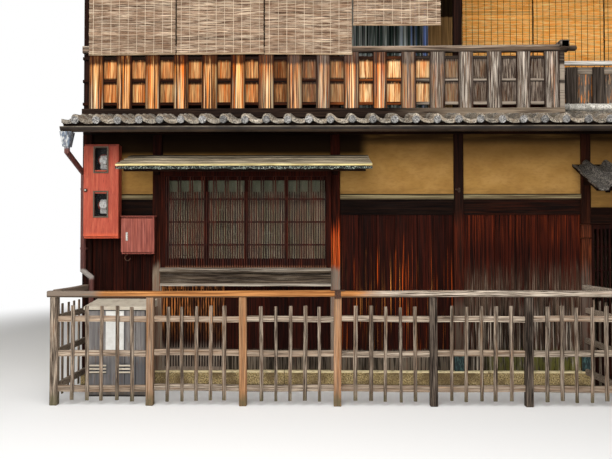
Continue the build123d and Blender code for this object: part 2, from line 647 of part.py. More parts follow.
# Downpipe: tapered hopper under the gutter, a slanting pipe back to the wall, an offset low down
PIPE_R = 29.0
PIPE_X = -HALF + PIPE_R + 4
PIPE_Y = FRONT - 40 - PIPE_R
HOPPER_TOP = GUTTER_Z - GUTTER_R - SEAT
HOPPER_WIDE = 120.0
HOPPER_DEEP = 110.0
HOPPER_BOTTOM = HOPPER_TOP - 150
HOPPER_X = -HALF + HOPPER_WIDE / 2
OFFSET_X = PIPE_X + 95.0
OFFSET_Z = WINDOW_SILL - 30.0
PIPE_SIDES = 10
PIPE_CLIP_HALF = PIPE_R + 4
PIPE_CLIP_ZS = (2150.0, 1500.0, 700.0)
with BuildPart() as downpipe:
    with BuildSketch(Plane.XY.offset(HOPPER_TOP)):
        with Locations((HOPPER_X, GUTTER_Y)):
            Rectangle(HOPPER_WIDE, HOPPER_DEEP)
    with BuildSketch(Plane.XY.offset(HOPPER_BOTTOM)):
        with Locations((HOPPER_X, GUTTER_Y)):
            Rectangle(2 * PIPE_R + 12, 2 * PIPE_R + 12)
    loft()
    with BuildLine():
        Polyline(
            (HOPPER_X, GUTTER_Y, HOPPER_BOTTOM + 10),
            (HOPPER_X, GUTTER_Y, HOPPER_BOTTOM - 50),
            (PIPE_X, PIPE_Y, HOPPER_BOTTOM - 210),
            (PIPE_X, PIPE_Y, OFFSET_Z),
            (OFFSET_X, PIPE_Y, OFFSET_Z - 75),
            (OFFSET_X, PIPE_Y, 15),
        )
    with BuildSketch(Plane.XY.offset(HOPPER_BOTTOM + 10)):
        with Locations((HOPPER_X, GUTTER_Y)):
            RegularPolygon(PIPE_R, PIPE_SIDES)
    sweep(transition=Transition.RIGHT)
    for clip_z in PIPE_CLIP_ZS:
        clip_x = PIPE_X if clip_z > OFFSET_Z else OFFSET_X
        block((clip_x - PIPE_CLIP_HALF, clip_x + PIPE_CLIP_HALF), (PIPE_Y, FRONT - SEAT), (clip_z - 12, clip_z + 12))
downpipe.part.label = "downpipe"
export_step(downpipe.part, "parts/downpipe.step")

# Tall meter box: an open-fronted case with a round hinge rod, and a door with two windows
METER_WIDE = 360.0
METER_TALL = 1018.0
METER_DEEP = 150.0
METER_LEFT = -HALF + 72.5
METER_X = (METER_LEFT, METER_LEFT + METER_WIDE)
METER_Z = (POSTS_TOP - 132.0 - METER_TALL, POSTS_TOP - 132.0)
CASE_WALL = 14.0
LEAF_THICK = 20.0
ROD_R = 5.0
KNUCKLE_R = 9.0
ROD_FIT = 0.25


def wall_case(x, z, deep):
    """Open-fronted case on the post faces with a hinge rod held by two ears at its right edge."""
    case_front = FRONT - SEAT - deep
    block(x, (case_front, FRONT - SEAT), z)
    with Locations(((x[0] + x[1]) / 2, case_front + (deep - CASE_WALL) / 2, (z[0] + z[1]) / 2)):
        Box(x[1] - x[0] - 2 * CASE_WALL, deep - CASE_WALL, z[1] - z[0] - 2 * CASE_WALL, mode=Mode.SUBTRACT)
    rod_x = x[1] + KNUCKLE_R
    rod_y = case_front - MOVING_GAP - LEAF_THICK / 2
    for ear_z in (z[0] + CASE_WALL / 2, z[1] - CASE_WALL / 2):
        block((x[1] - CASE_WALL, x[1]), (rod_y - KNUCKLE_R, case_front + 1), (ear_z - 5, ear_z + 5))
        block((x[1] - 1, x[1] + 2 * KNUCKLE_R), (rod_y - KNUCKLE_R, case_front + 1), (ear_z - 5, ear_z + 5))
    with Locations((rod_x, rod_y, (z[0] + z[1]) / 2)):
        Cylinder(ROD_R, z[1] - z[0] - CASE_WALL)


def case_door(x, z, deep, windows):
    """Door leaf in front of a case, with a knuckle that turns on the rod, and framed windows."""
    leaf_back = FRONT - SEAT - deep - MOVING_GAP
    leaf_z = (z[0] + CASE_WALL + MOVING_GAP, z[1] - CASE_WALL - MOVING_GAP)
    rod_x = x[1] + KNUCKLE_R
    rod_y = leaf_back - LEAF_THICK / 2
    block((x[0], rod_x), (leaf_back - LEAF_THICK, leaf_back), leaf_z)
    with Locations((rod_x, rod_y, (leaf_z[0] + leaf_z[1]) / 2)):
        Cylinder(KNUCKLE_R, leaf_z[1] - leaf_z[0])
        Cylinder(ROD_R + ROD_FIT, leaf_z[1] - leaf_z[0], mode=Mode.SUBTRACT)
    for window_x, window_z in windows:
        block((window_x[0] - 14, window_x[1] + 14), (leaf_back - LEAF_THICK - 6, leaf_back - LEAF_THICK),
              (window_z[0] - 14, window_z[1] + 14))
        with Locations(((window_x[0] + window_x[1]) / 2, rod_y, (window_z[0] + window_z[1]) / 2)):
            Box(window_x[1] - window_x[0], 3 * LEAF_THICK, window_z[1] - window_z[0], mode=Mode.SUBTRACT)


METER_WINDOW_X = (METER_X[0] + 118, METER_X[0] + 258)
METER_WINDOWS = [(METER_WINDOW_X, (METER_Z[0] + 735, METER_Z[1] - 38)),
                 (METER_WINDOW_X, (METER_Z[0] + 235, METER_Z[0] + 485))]
with BuildPart() as meter_box:
    wall_case(METER_X, METER_Z, METER_DEEP)
    for window_x, window_z in METER_WINDOWS:
        with Locations(
            ((window_x[0] + window_x[1]) / 2, FRONT - SEAT - CASE_WALL - 35, (window_z[0] + window_z[1]) / 2)
        ):
            Cylinder(62, 70, rotation=(90, 0, 0))
meter_box.part.label = "meter_box"
export_step(meter_box.part, "parts/meter_box.step")

with BuildPart() as meter_box_door:
    case_door(METER_X, METER_Z, METER_DEEP, METER_WINDOWS)
meter_box_door.part.label = "meter_box_door"
export_step(meter_box_door.part, "parts/meter_box_door.step")

# Panes that fill the two windows of the meter box door
with BuildPart() as meter_box_glass:
    pane_y = FRONT - SEAT - METER_DEEP - MOVING_GAP - LEAF_THICK / 2
    for window_x, window_z in METER_WINDOWS:
        block(window_x, (pane_y - 2, pane_y + 2), window_z)
meter_box_glass.part.label = "meter_box_glass"
export_step(meter_box_glass.part, "parts/meter_box_glass.step")

# Small box beside it, with a plain door under a sloped lid strip
SMALL_WIDE = 342.0
SMALL_TALL = 406.0
SMALL_DEEP = 100.0
SMALL_LEFT = METER_X[1] + 34.0
SMALL_X = (SMALL_LEFT, SMALL_LEFT + SMALL_WIDE)
SMALL_Z = (METER_Z[0] - 170.0, METER_Z[0] - 170.0 + SMALL_TALL)
with BuildPart() as small_box:
    wall_case(SMALL_X, SMALL_Z, SMALL_DEEP)
    with BuildSketch(side_plane(SMALL_X[0] - 6)):
        lid_y = FRONT - SEAT
        with BuildLine():
            Polyline(
                (lid_y, SMALL_Z[1]),
                (lid_y, SMALL_Z[1] + 16),
                (lid_y - SMALL_DEEP - 40, SMALL_Z[1] + 6),
                (lid_y - SMALL_DEEP - 40, SMALL_Z[1]),
                close=True,
            )
        make_face()
    extrude(amount=SMALL_X[1] - SMALL_X[0] + 26)
small_box.part.label = "small_box"
export_step(small_box.part, "parts/small_box.step")

with BuildPart() as small_box_door:
    case_door(SMALL_X, SMALL_Z, SMALL_DEEP, [])
    with Locations((SMALL_X[0] + 62, FRONT - SEAT - SMALL_DEEP - MOVING_GAP - LEAF_THICK, SMALL_Z[0] + 170)):
        Box(26, 8, 96, mode=Mode.SUBTRACT)
small_box_door.part.label = "small_box_door"
export_step(small_box_door.part, "parts/small_box_door.step")

# Entrance: stone threshold with a runner rail, lintel, a fixed lattice and a sliding lattice door
DOOR_Y = FRONT + 34.0
FIXED_Y = DOOR_Y + DOOR_THICK + MOVING_GAP
ENTRANCE_LEFT, ENTRANCE_RIGHT = ENTRANCE_BAY
DOOR_WIDE = (ENTRANCE_RIGHT - ENTRANCE_LEFT - MOVING_GAP + DOOR_LAP) / 2
DOOR_X = (ENTRANCE_LEFT + MOVING_GAP, ENTRANCE_LEFT + MOVING_GAP + DOOR_WIDE)
FIXED_X = (ENTRANCE_RIGHT - DOOR_WIDE, ENTRANCE_RIGHT)
DOOR_Z = (THRESHOLD_TOP + MOVING_GAP, DOOR_HEAD - MOVING_GAP)
FIXED_Z = (THRESHOLD_TOP, DOOR_HEAD)
ENTRANCE_PITCH = 43.0
ENTRANCE_BAR = 18.0
STILE = 36.0
with BuildPart() as entrance_frame:
    with BuildSketch(side_plane(ENTRANCE_LEFT)):
        with BuildLine():
            Polyline(
                (FRONT + 10, DOOR_HEAD),
                (FRONT + 100, DOOR_HEAD),
                (FRONT + 100, ENTRANCE_LINTEL_TOP),
                (FRONT + 10, ENTRANCE_LINTEL_TOP),
                close=True,
            )
        make_face()
    extrude(amount=ENTRANCE_RIGHT - ENTRANCE_LEFT)
    block((ENTRANCE_LEFT, ENTRANCE_RIGHT), (FRONT - PLINTH_OUT, FRONT + POST - SEAT), (0, THRESHOLD_TOP))
entrance_frame.part.label = "entrance_frame"
export_step(entrance_frame.part, "parts/entrance_frame.step")


ENTRANCE_LEAF_FRAME = (STILE, 210.0, 50.0)
ENTRANCE_RAIL_ZS = [DOOR_HEAD - 510.0, DOOR_HEAD - 250.0]
with BuildPart() as entrance_fixed_lattice:
    lattice_leaf(FIXED_X, FIXED_Z, FIXED_Y + DOOR_THICK, DOOR_THICK, ENTRANCE_LEAF_FRAME, ENTRANCE_BAR,
                 ENTRANCE_PITCH, ENTRANCE_RAIL_ZS)
entrance_fixed_lattice.part.label = "entrance_fixed_lattice"
export_step(entrance_fixed_lattice.part, "parts/entrance_fixed_lattice.step")

# The sliding door runs on two shoes just above the threshold
with BuildPart() as entrance_door:
    lattice_leaf(DOOR_X, DOOR_Z, DOOR_Y + DOOR_THICK, DOOR_THICK, ENTRANCE_LEAF_FRAME, ENTRANCE_BAR,
                 ENTRANCE_PITCH, ENTRANCE_RAIL_ZS)
    for shoe_x in (DOOR_X[0] + 60, DOOR_X[1] - 60):
        block((shoe_x - 22, shoe_x + 22), (DOOR_Y + 9, DOOR_Y + DOOR_THICK - 9), (THRESHOLD_TOP + SEAT, DOOR_Z[0] + 1))
entrance_door.part.label = "entrance_door"
export_step(entrance_door.part, "parts/entrance_door.step")

# Small tiled roof over the entrance, on two brackets
ENTRANCE_ROOF_LEFT = ENTRANCE_POST_X - 215.0
entrance_roof_count = int((HALF - ENTRANCE_ROOF_LEFT) / TILE_PITCH)
ENTRANCE_ROOF_EDGE = HALF - entrance_roof_count * TILE_PITCH


def entrance_roof_z(y):
    """Height of the tile bed of the small roof at y."""
    return ENTRANCE_ROOF_BACK_Z + ENTRANCE_ROOF_SLOPE * (y - FRONT)


with BuildPart() as entrance_roof:
    small_plane = Plane(origin=(0, FRONT - SEAT, entrance_roof_z(FRONT - SEAT)), x_dir=(1, 0, 0),
                        z_dir=(0, -1, -ENTRANCE_ROOF_SLOPE))
    with BuildSketch(small_plane):
        with BuildLine():
            tile_line(TILE_TROUGH, TILE_RISE, ENTRANCE_ROOF_EDGE, entrance_roof_count)
        make_face()
    extrude(amount=along_slope(ENTRANCE_ROOF_OUT, ENTRANCE_ROOF_SLOPE))
    half_space_y = FRONT - SEAT
    split(bisect_by=Plane.XZ.offset(-half_space_y), keep=Keep.TOP)
entrance_roof.part.label = "entrance_roof"
export_step(entrance_roof.part, "parts/entrance_roof.step")

with BuildPart() as entrance_roof_frame:
    with BuildSketch(side_plane(ENTRANCE_ROOF_EDGE)):
        with BuildLine():
            Polyline(
                (FRONT - SEAT, entrance_roof_z(FRONT - SEAT)),
                (FRONT - ENTRANCE_ROOF_OUT + 30, entrance_roof_z(FRONT - ENTRANCE_ROOF_OUT + 30)),
                (FRONT - ENTRANCE_ROOF_OUT + 30, entrance_roof_z(FRONT - ENTRANCE_ROOF_OUT + 30) - 24),
                (FRONT - SEAT, entrance_roof_z(FRONT - SEAT) - 24),
                close=True,
            )
        make_face()
    extrude(amount=HALF - ENTRANCE_ROOF_EDGE)
    for arm_x in (ENTRANCE_POST_X - 25, HALF - POST + 27):
        with BuildSketch(side_plane(arm_x)):
            arm_out = FRONT - ENTRANCE_ROOF_OUT + 120
            with BuildLine():
                Line((FRONT - SEAT, entrance_roof_z(FRONT) - 24), (arm_out, entrance_roof_z(arm_out) - 24))
                Line((arm_out, entrance_roof_z(arm_out) - 24), (arm_out, entrance_roof_z(arm_out) - 80))
                ThreePointArc(
                    (arm_out, entrance_roof_z(arm_out) - 80),
                    (FRONT - 240, entrance_roof_z(FRONT - 240) - 92),
                    (FRONT - SEAT, entrance_roof_z(FRONT) - 230),
                )
                Line((FRONT - SEAT, entrance_roof_z(FRONT) - 230), (FRONT - SEAT, entrance_roof_z(FRONT) - 24))
            make_face()
        extrude(amount=50)
entrance_roof_frame.part.label = "entrance_roof_frame"
export_step(entrance_roof_frame.part, "parts/entrance_roof_frame.step")

# Upper floor: boards on joists as one deck, cut back where the pent roof runs over the entrance
RECESS_Y = FRONT + ENTRANCE_SETBACK
SILL_BACK = FRONT + 75.0
with BuildPart() as upper_floor:
    with BuildSketch(Plane.XY.offset(PLATE_TOP)):
        with BuildLine():
            Polyline(
                (-INNER, SILL_BACK),
                (BALCONY_END_X, SILL_BACK),
                (BALCONY_END_X, RECESS_Y + SEAT),
                (INNER, RECESS_Y + SEAT),
                (INNER, BACK),
                (-INNER, BACK),
                close=True,
            )
        make_face()
    extrude(amount=DECK_TOP - PLATE_TOP)
upper_floor.part.label = "upper_floor"
export_step(upper_floor.part, "parts/upper_floor.step")

# Balcony sill beam, and the wide top rail with a cross piece at its right end
with BuildPart() as balcony_sill:
    with BuildSketch(side_plane(-HALF)):
        with BuildLine():
            Polyline(
                (FRONT - BALCONY_OUT - 10, PLATE_TOP),
                (SILL_BACK, PLATE_TOP),
                (SILL_BACK, DECK_TOP),
                (FRONT - BALCONY_OUT - 4, DECK_TOP),
                (FRONT - BALCONY_OUT - 10, DECK_TOP - 6),
                close=True,
            )
        make_face()
    extrude(amount=BALCONY_END_X + HALF)
balcony_sill.part.label = "balcony_sill"
export_step(balcony_sill.part, "parts/balcony_sill.step")

POST_UPPER = 85.0
UPPER_POST_Y = (FRONT + 20.0, FRONT + 20.0 + POST_UPPER)
RAIL_Z = (BALCONY_RAIL_TOP - BALCONY_RAIL_DEEP, BALCONY_RAIL_TOP)
RAIL_SAG = 12.0
with BuildPart() as balcony_top_rail:
    with BuildSketch(front_plane(UPPER_POST_Y[0])):
        with BuildLine():
            middle = (BALCONY_END_X - HALF) / 2
            Line((-HALF, RAIL_Z[0]), (BALCONY_END_X + 40, RAIL_Z[0]))
            Line((BALCONY_END_X + 40, RAIL_Z[0]), (BALCONY_END_X + 40, RAIL_Z[1]))
            ThreePointArc((BALCONY_END_X + 40, RAIL_Z[1]), (middle, RAIL_Z[1] - RAIL_SAG), (-HALF, RAIL_Z[1]))
            Line((-HALF, RAIL_Z[1]), (-HALF, RAIL_Z[0]))
        make_face()
    extrude(amount=UPPER_POST_Y[0] - BALCONY_FACE)
    block((BALCONY_END_X - 60, BALCONY_END_X), (UPPER_POST_Y[0] - 1, RECESS_Y), (RAIL_Z[0], RAIL_Z[1] - 16))
    block((BALCONY_END_X - 53, BALCONY_END_X + 43), (BALCONY_FACE - 35, BALCONY_FACE + 375),
          (RAIL_Z[1] - 46, RAIL_Z[1] + 40))
balcony_top_rail.part.label = "balcony_top_rail"
export_step(balcony_top_rail.part, "parts/balcony_top_rail.step")

# Wide upright boards of the balcony front
BOARD_LEFT_X = -HALF + 153.5
BOARD_RIGHT_X = BALCONY_END_X - 137.0
board_pitch = (BOARD_RIGHT_X - BOARD_LEFT_X) / (BALCONY_BOARDS - 1)
with BuildPart() as balcony_boards:
    with BuildSketch(front_plane(BALCONY_FACE + BALCONY_BOARD_THICK)):
        with Locations(((BOARD_LEFT_X + BOARD_RIGHT_X) / 2, (DECK_TOP + RAIL_Z[0]) / 2)):
            with GridLocations(board_pitch, 1, BALCONY_BOARDS, 1):
                Rectangle(BALCONY_BOARD_WIDE, RAIL_Z[0] - DECK_TOP)
    extrude(amount=BALCONY_BOARD_THICK)
balcony_boards.part.label = "balcony_boards"
export_step(balcony_boards.part, "parts/balcony_boards.step")

# Three rails behind the boards, with the end post
RAIL_FRONT = BALCONY_FACE + BALCONY_BOARD_THICK
BALCONY_RAIL_ZS = [DECK_TOP + BALCONY_RAIL_INSET, (DECK_TOP + RAIL_Z[0]) / 2, RAIL_Z[0] - BALCONY_RAIL_INSET]
END_POST_X = (BALCONY_END_X - 50.0, BALCONY_END_X)
with BuildPart() as balcony_rails:
    for rail_z in BALCONY_RAIL_ZS:
        block((-HALF, END_POST_X[0]), (RAIL_FRONT, UPPER_POST_Y[0]),
              (rail_z - BALCONY_RAIL / 2, rail_z + BALCONY_RAIL / 2))
    block(END_POST_X, (BALCONY_FACE, UPPER_POST_Y[0]), (DECK_TOP, RAIL_Z[0]))
balcony_rails.part.label = "balcony_rails"
export_step(balcony_rails.part, "parts/balcony_rails.step")

# Thin panels between the rails
PANEL_Y = (RAIL_FRONT + 12.0, RAIL_FRONT + 22.0)
with BuildPart() as balcony_panels:
    for low, high in zip(BALCONY_RAIL_ZS[:-1], BALCONY_RAIL_ZS[1:]):
        block((-HALF, END_POST_X[0]), PANEL_Y, (low + BALCONY_RAIL / 2, high - BALCONY_RAIL / 2))
balcony_panels.part.label = "balcony_panels"
export_step(balcony_panels.part, "parts/balcony_panels.step")

# Set-back balcony over the entrance, with the return that closes the end of the front balcony
RECESS_RAIL_Z = (DECK_TOP + 250.0, DECK_TOP + 290.0)
with BuildPart() as entrance_balcony:
    with BuildSketch(front_plane(RECESS_Y + 60)):
        for rail_z in ((DECK_TOP, DECK_TOP + 60), RECESS_RAIL_Z, (RAIL_Z[0] - 20, RAIL_Z[1] - 36)):
            panel((BALCONY_END_X, INNER), rail_z)
    extrude(amount=55)
    recess_boards = 4
    recess_pitch = (INNER - BALCONY_END_X) / recess_boards
    with BuildSketch(front_plane(RECESS_Y + 25)):
        with Locations(((INNER + BALCONY_END_X) / 2, (DECK_TOP + 60 + RAIL_Z[0] - 20) / 2)):
            with GridLocations(recess_pitch, 1, recess_boards, 1):
                Rectangle(recess_pitch - 12, RAIL_Z[0] - 20 - DECK_TOP - 60)
    extrude(amount=18)
    block((BALCONY_END_X - 24, BALCONY_END_X), (UPPER_POST_Y[0] + SEAT, RECESS_Y + 60), (DECK_TOP, RAIL_Z[0]))
entrance_balcony.part.label = "entrance_balcony"
export_step(entrance_balcony.part, "parts/entrance_balcony.step")

# Stack of ridge tiles where the entrance pent roof meets the set-back balcony
STACK_X = (BALCONY_END_X + SEAT, PENT_RIGHT_END)
with BuildPart() as entrance_ridge:
    with BuildSketch(side_plane(STACK_X[0])):
        stack_front = RIDGE_STACK_FRONT + SEAT
        stack_top = pent_z(stack_front) + TILE_TROUGH + TILE_RISE
        with BuildLine():
            Polyline(
                (stack_front + 82, stack_top + 88),
                (stack_front + 94, stack_top + 88),
                (stack_front + 94, pent_z(stack_front + 94)),
                (stack_front, pent_z(stack_front)),
                (stack_front, stack_top + 2),
                (stack_front - 14, stack_top + 2),
                (stack_front - 14, stack_top + 26),
                (stack_front, stack_top + 26),
                (stack_front, stack_top + 30),
                (stack_front - 8, stack_top + 30),
                (stack_front - 8, stack_top + 54),
                (stack_front + 6, stack_top + 54),
            )
            ThreePointArc(
                (stack_front + 6, stack_top + 54),
                (stack_front + 30, stack_top + 92),
                (stack_front + 82, stack_top + 88),
            )
        make_face()
    extrude(amount=STACK_X[1] - STACK_X[0])
entrance_ridge.part.label = "entrance_ridge"
export_step(entrance_ridge.part, "parts/entrance_ridge.step")

# Upper posts in the balcony plane and at the back, the right-hand one down to the low wall plate
EAVES_BEAM_BOTTOM = EAVES_BEAM_TOP - EAVES_BEAM_DEEP
with BuildPart() as upper_posts:
    for post_x in (-HALF + POST_UPPER / 2, FRONT_POSTS[2], FRONT_POSTS[3]):
        block((post_x - POST_UPPER / 2, post_x + POST_UPPER / 2), UPPER_POST_Y, (DECK_TOP, EAVES_BEAM_BOTTOM))
    block((HALF - POST_UPPER, HALF), UPPER_POST_Y, (PLATE_LOW_TOP, EAVES_BEAM_BOTTOM))
    for post_x in BACK_POSTS:
        block((post_x - POST / 2, post_x + POST / 2), (BACK - POST, BACK), (DECK_TOP, EAVES_BEAM_BOTTOM))
upper_posts.part.label = "upper_posts"
export_step(upper_posts.part, "parts/upper_posts.step")

# Eaves beams, their tops bevelled to the roof slope
with BuildPart() as eaves_beams:
    with BuildSketch(side_plane(-HALF)):
        with BuildLine():
            Polyline(
                (BALCONY_FACE, EAVES_BEAM_BOTTOM),
                (UPPER_POST_Y[1], EAVES_BEAM_BOTTOM),
                (UPPER_POST_Y[1], roof_z(UPPER_POST_Y[1])),
                (BALCONY_FACE, roof_z(BALCONY_FACE)),
                close=True,
            )
        make_face()
        with BuildLine():
            Polyline(
                (-BALCONY_FACE, EAVES_BEAM_BOTTOM),
                (BACK - POST, EAVES_BEAM_BOTTOM),
                (BACK - POST, roof_z(BACK - POST)),
                (-BALCONY_FACE, roof_z(BALCONY_FACE)),
                close=True,
            )
        make_face()
    extrude(amount=FRONTAGE)
eaves_beams.part.label = "eaves_beams"
export_step(eaves_beams.part, "parts/eaves_beams.step")

# Glazed upper front wall: frame with four openings, plaster above it up to the roof
UPPER_FRAME_BACK = UPPER_FRONT + POST
UPPER_OPENINGS = 4
UPPER_SILL_DEEP = 60.0
upper_bay = 2 * INNER / UPPER_OPENINGS
with BuildPart() as upper_front_frame:
    with BuildSketch(front_plane(UPPER_FRAME_BACK)):
        panel((-INNER, INNER), (DECK_TOP, UPPER_HEAD + UPPER_HEAD_DEEP))
        with Locations((0, (DECK_TOP + UPPER_SILL_DEEP + UPPER_HEAD) / 2)):
            with GridLocations(upper_bay, 1, UPPER_OPENINGS, 1):
                Rectangle(upper_bay - POST, UPPER_HEAD - DECK_TOP - UPPER_SILL_DEEP, mode=Mode.SUBTRACT)
    extrude(amount=POST)
upper_front_frame.part.label = "upper_front_frame"
export_step(upper_front_frame.part, "parts/upper_front_frame.step")

with BuildPart() as upper_front_sashes:
    with BuildSketch(front_plane(UPPER_FRONT + 50)):
        sash_low = DECK_TOP + UPPER_SILL_DEEP
        pane_wide = (upper_bay - POST) / 2 - UPPER_PANE_EDGE
        pane_split = sash_low + UPPER_PANE_SPLIT
        lower_pane = (sash_low + UPPER_PANE_FOOT, pane_split - UPPER_PANE_BAR / 2)
        upper_pane = (pane_split + UPPER_PANE_BAR / 2, UPPER_HEAD - UPPER_PANE_EDGE)
        for opening in range(UPPER_OPENINGS):
            centre = (opening - (UPPER_OPENINGS - 1) / 2) * upper_bay
            panel((centre - (upper_bay - POST) / 2, centre + (upper_bay - POST) / 2), (sash_low, UPPER_HEAD))
            for side in (-1, 1):
                for pane_z in (lower_pane, upper_pane):
                    with Locations((centre + side * (upper_bay - POST) / 4, (pane_z[0] + pane_z[1]) / 2)):
                        Rectangle(pane_wide, pane_z[1] - pane_z[0], mode=Mode.SUBTRACT)
    extrude(amount=30)
upper_front_sashes.part.label = "upper_front_sashes"
export_step(upper_front_sashes.part, "parts/upper_front_sashes.step")

with BuildPart() as upper_front_plaster:
    with BuildSketch(side_plane(-INNER)):
        wall_y = (UPPER_FRONT + 20, UPPER_FRAME_BACK - 15)
        wall_foot = UPPER_HEAD + UPPER_HEAD_DEEP
        with BuildLine():
            Polyline(
                (wall_y[0], wall_foot),
                (wall_y[1], wall_foot),
                (wall_y[1], roof_z(wall_y[1])),
                (wall_y[0], roof_z(wall_y[0])),
                close=True,
            )
        make_face()
    extrude(amount=2 * INNER)
upper_front_plaster.part.label = "upper_front_plaster"
export_step(upper_front_plaster.part, "parts/upper_front_plaster.step")

# Grey reed blinds on the face of the front eaves beam, the fourth one drawn up higher
BLIND_THICK = 8.0
BLIND_WIDE = 948.0
BLIND_PITCH = 963.0
BLIND_LEFT = -HALF + 75.5
BLIND_TOP = EAVES_BEAM_BOTTOM + 60.0
BLIND_FOOT = [BALCONY_RAIL_TOP + past for past in (-114.0, -112.0, -118.0, 199.0)]
with BuildPart() as grey_blinds:
    blind_y = (BALCONY_FACE - SEAT - BLIND_THICK, BALCONY_FACE - SEAT)
    for blind, foot in enumerate(BLIND_FOOT):
        blind_x = BLIND_LEFT + blind * BLIND_PITCH
        block((blind_x, blind_x + BLIND_WIDE), blind_y, (foot, BLIND_TOP))
        block((blind_x - 4, blind_x + BLIND_WIDE + 4), (blind_y[0] - 10, blind_y[1]), (foot - 4, foot + 22))
        block((blind_x - 4, blind_x + BLIND_WIDE + 4), (blind_y[0] - 10, blind_y[1]), (BLIND_TOP - 22, BLIND_TOP))
grey_blinds.part.label = "grey_blinds"
export_step(grey_blinds.part, "parts/grey_blinds.step")

# Yellow blinds on the upper front wall, behind the balcony
YELLOW_LEFT = FRONT_POSTS[3] + 257.0
YELLOW_WIDE = 862.0
YELLOW_PITCH = 880.0
YELLOW_FOOT = BALCONY_RAIL_TOP - 176.0
with BuildPart() as yellow_blinds:
    yellow_y = (UPPER_FRONT - SEAT - BLIND_THICK, UPPER_FRONT - SEAT)
    for blind in range(3):
        blind_x = YELLOW_LEFT + blind * YELLOW_PITCH
        blind_end = min(blind_x + YELLOW_WIDE, INNER - 15)
        block((blind_x, blind_end), yellow_y, (YELLOW_FOOT, UPPER_HEAD + 90))
        block((blind_x, blind_end), (yellow_y[0] - 10, yellow_y[1]), (YELLOW_FOOT - 4, YELLOW_FOOT + 20))
yellow_blinds.part.label = "yellow_blinds"
export_step(yellow_blinds.part, "parts/yellow_blinds.step")

# Party walls: plain gabled slabs from the ground to the roof
WALL_Y = (FRONT + POST, BACK - POST)
for side_name, wall_x in (("left", -HALF), ("right", INNER)):
    with BuildPart() as party_wall:
        with BuildSketch(side_plane(wall_x)):
            with BuildLine():
                Polyline(
                    (WALL_Y[0], 0),
                    (WALL_Y[1], 0),
                    (WALL_Y[1], roof_z(WALL_Y[1])),
                    (0, roof_z(0)),
                    (WALL_Y[0], roof_z(WALL_Y[0])),
                    close=True,
                )
            make_face()
        extrude(amount=PARTY_THICK)
    party_wall.part.label = f"party_wall_{side_name}"
    export_step(party_wall.part, f"parts/party_wall_{side_name}.step")

# Main roof: boards with rafter ends under the eaves, then S-tiles on both slopes
ROOF_EDGE = DEPTH / 2 + ROOF_OUT
with BuildPart() as roof_boards:
    with BuildSketch(side_plane(-HALF)):
        with BuildLine():
            Polyline(
                (-ROOF_EDGE, roof_z(ROOF_EDGE)),
                (0, roof_z(0)),
                (ROOF_EDGE, roof_z(ROOF_EDGE)),
                (ROOF_EDGE, roof_z(ROOF_EDGE) + ROOF_BOARD),
                (0, roof_z(0) + ROOF_BOARD),
                (-ROOF_EDGE, roof_z(ROOF_EDGE) + ROOF_BOARD),
                close=True,
            )
        make_face()
    extrude(amount=FRONTAGE)
    for rafter in range(int(FRONTAGE / ROOF_RAFTER_PITCH) + 1):
        rafter_x = -HALF + 25 + rafter * (FRONTAGE - 100) / int(FRONTAGE / ROOF_RAFTER_PITCH)
        with BuildSketch(side_plane(rafter_x)):
            for side in (-1, 1):
                with BuildLine():
                    Polyline(
                        (side * (ROOF_EDGE - 30), roof_z(ROOF_EDGE - 30)),
                        (side * (DEPTH / 2 + BALCONY_OUT + 12), roof_z(DEPTH / 2 + BALCONY_OUT + 12)),
                        (side * (DEPTH / 2 + BALCONY_OUT + 12), roof_z(DEPTH / 2 + BALCONY_OUT + 12) - ROOF_RAFTER),
                        (side * (ROOF_EDGE - 30), roof_z(ROOF_EDGE - 30) - ROOF_RAFTER),
                        close=True,
                    )
                make_face()
        extrude(amount=50)
roof_boards.part.label = "roof_boards"
export_step(roof_boards.part, "parts/roof_boards.step")

roof_top = roof_z(0) + ROOF_BOARD
for slope_name, side in (("front", -1), ("back", 1)):
    with BuildPart() as roof_tiles:
        ridge_y = side * RIDGE_HALF
        slope_plane = Plane(
            origin=(0, ridge_y, roof_top - ROOF_SLOPE * RIDGE_HALF),
            x_dir=(-side, 0, 0),
            z_dir=(0, side, -ROOF_SLOPE),
        )
        with BuildSketch(slope_plane):
            with BuildLine():
                tile_line(ROOF_TROUGH, ROOF_RISE, -HALF, TILE_COLUMNS)
            make_face()
        extrude(amount=along_slope(ROOF_EDGE + 20 - RIDGE_HALF, ROOF_SLOPE))
    roof_tiles.part.label = f"main_roof_{slope_name}"
    export_step(roof_tiles.part, f"parts/main_roof_{slope_name}.step")

# Ridge: bedding, two flat tile courses and a round cap
with BuildPart() as roof_ridge:
    with BuildSketch(side_plane(-HALF)):
        bed_half = RIDGE_HALF - 38
        bed_z = roof_top - ROOF_SLOPE * bed_half
        course_z = roof_top + ROOF_TROUGH + 40
        with BuildLine():
            Polyline(
                (-60, course_z + 84),
                (-60, course_z + 52),
                (-bed_half + 2, course_z + 52),
                (-bed_half + 2, course_z + 28),
                (-bed_half - 12, course_z + 28),
                (-bed_half - 12, course_z),
                (-bed_half, course_z),
                (-bed_half, bed_z),
                (0, roof_top),
                (bed_half, bed_z),
                (bed_half, course_z),
                (bed_half + 12, course_z),
                (bed_half + 12, course_z + 28),
                (bed_half - 2, course_z + 28),
                (bed_half - 2, course_z + 52),
                (60, course_z + 52),
                (60, course_z + 84),
            )
            ThreePointArc((60, course_z + 84), (0, course_z + 140), (-60, course_z + 84))
        make_face()
    extrude(amount=FRONTAGE)
roof_ridge.part.label = "roof_ridge"
export_step(roof_ridge.part, "parts/roof_ridge.step")

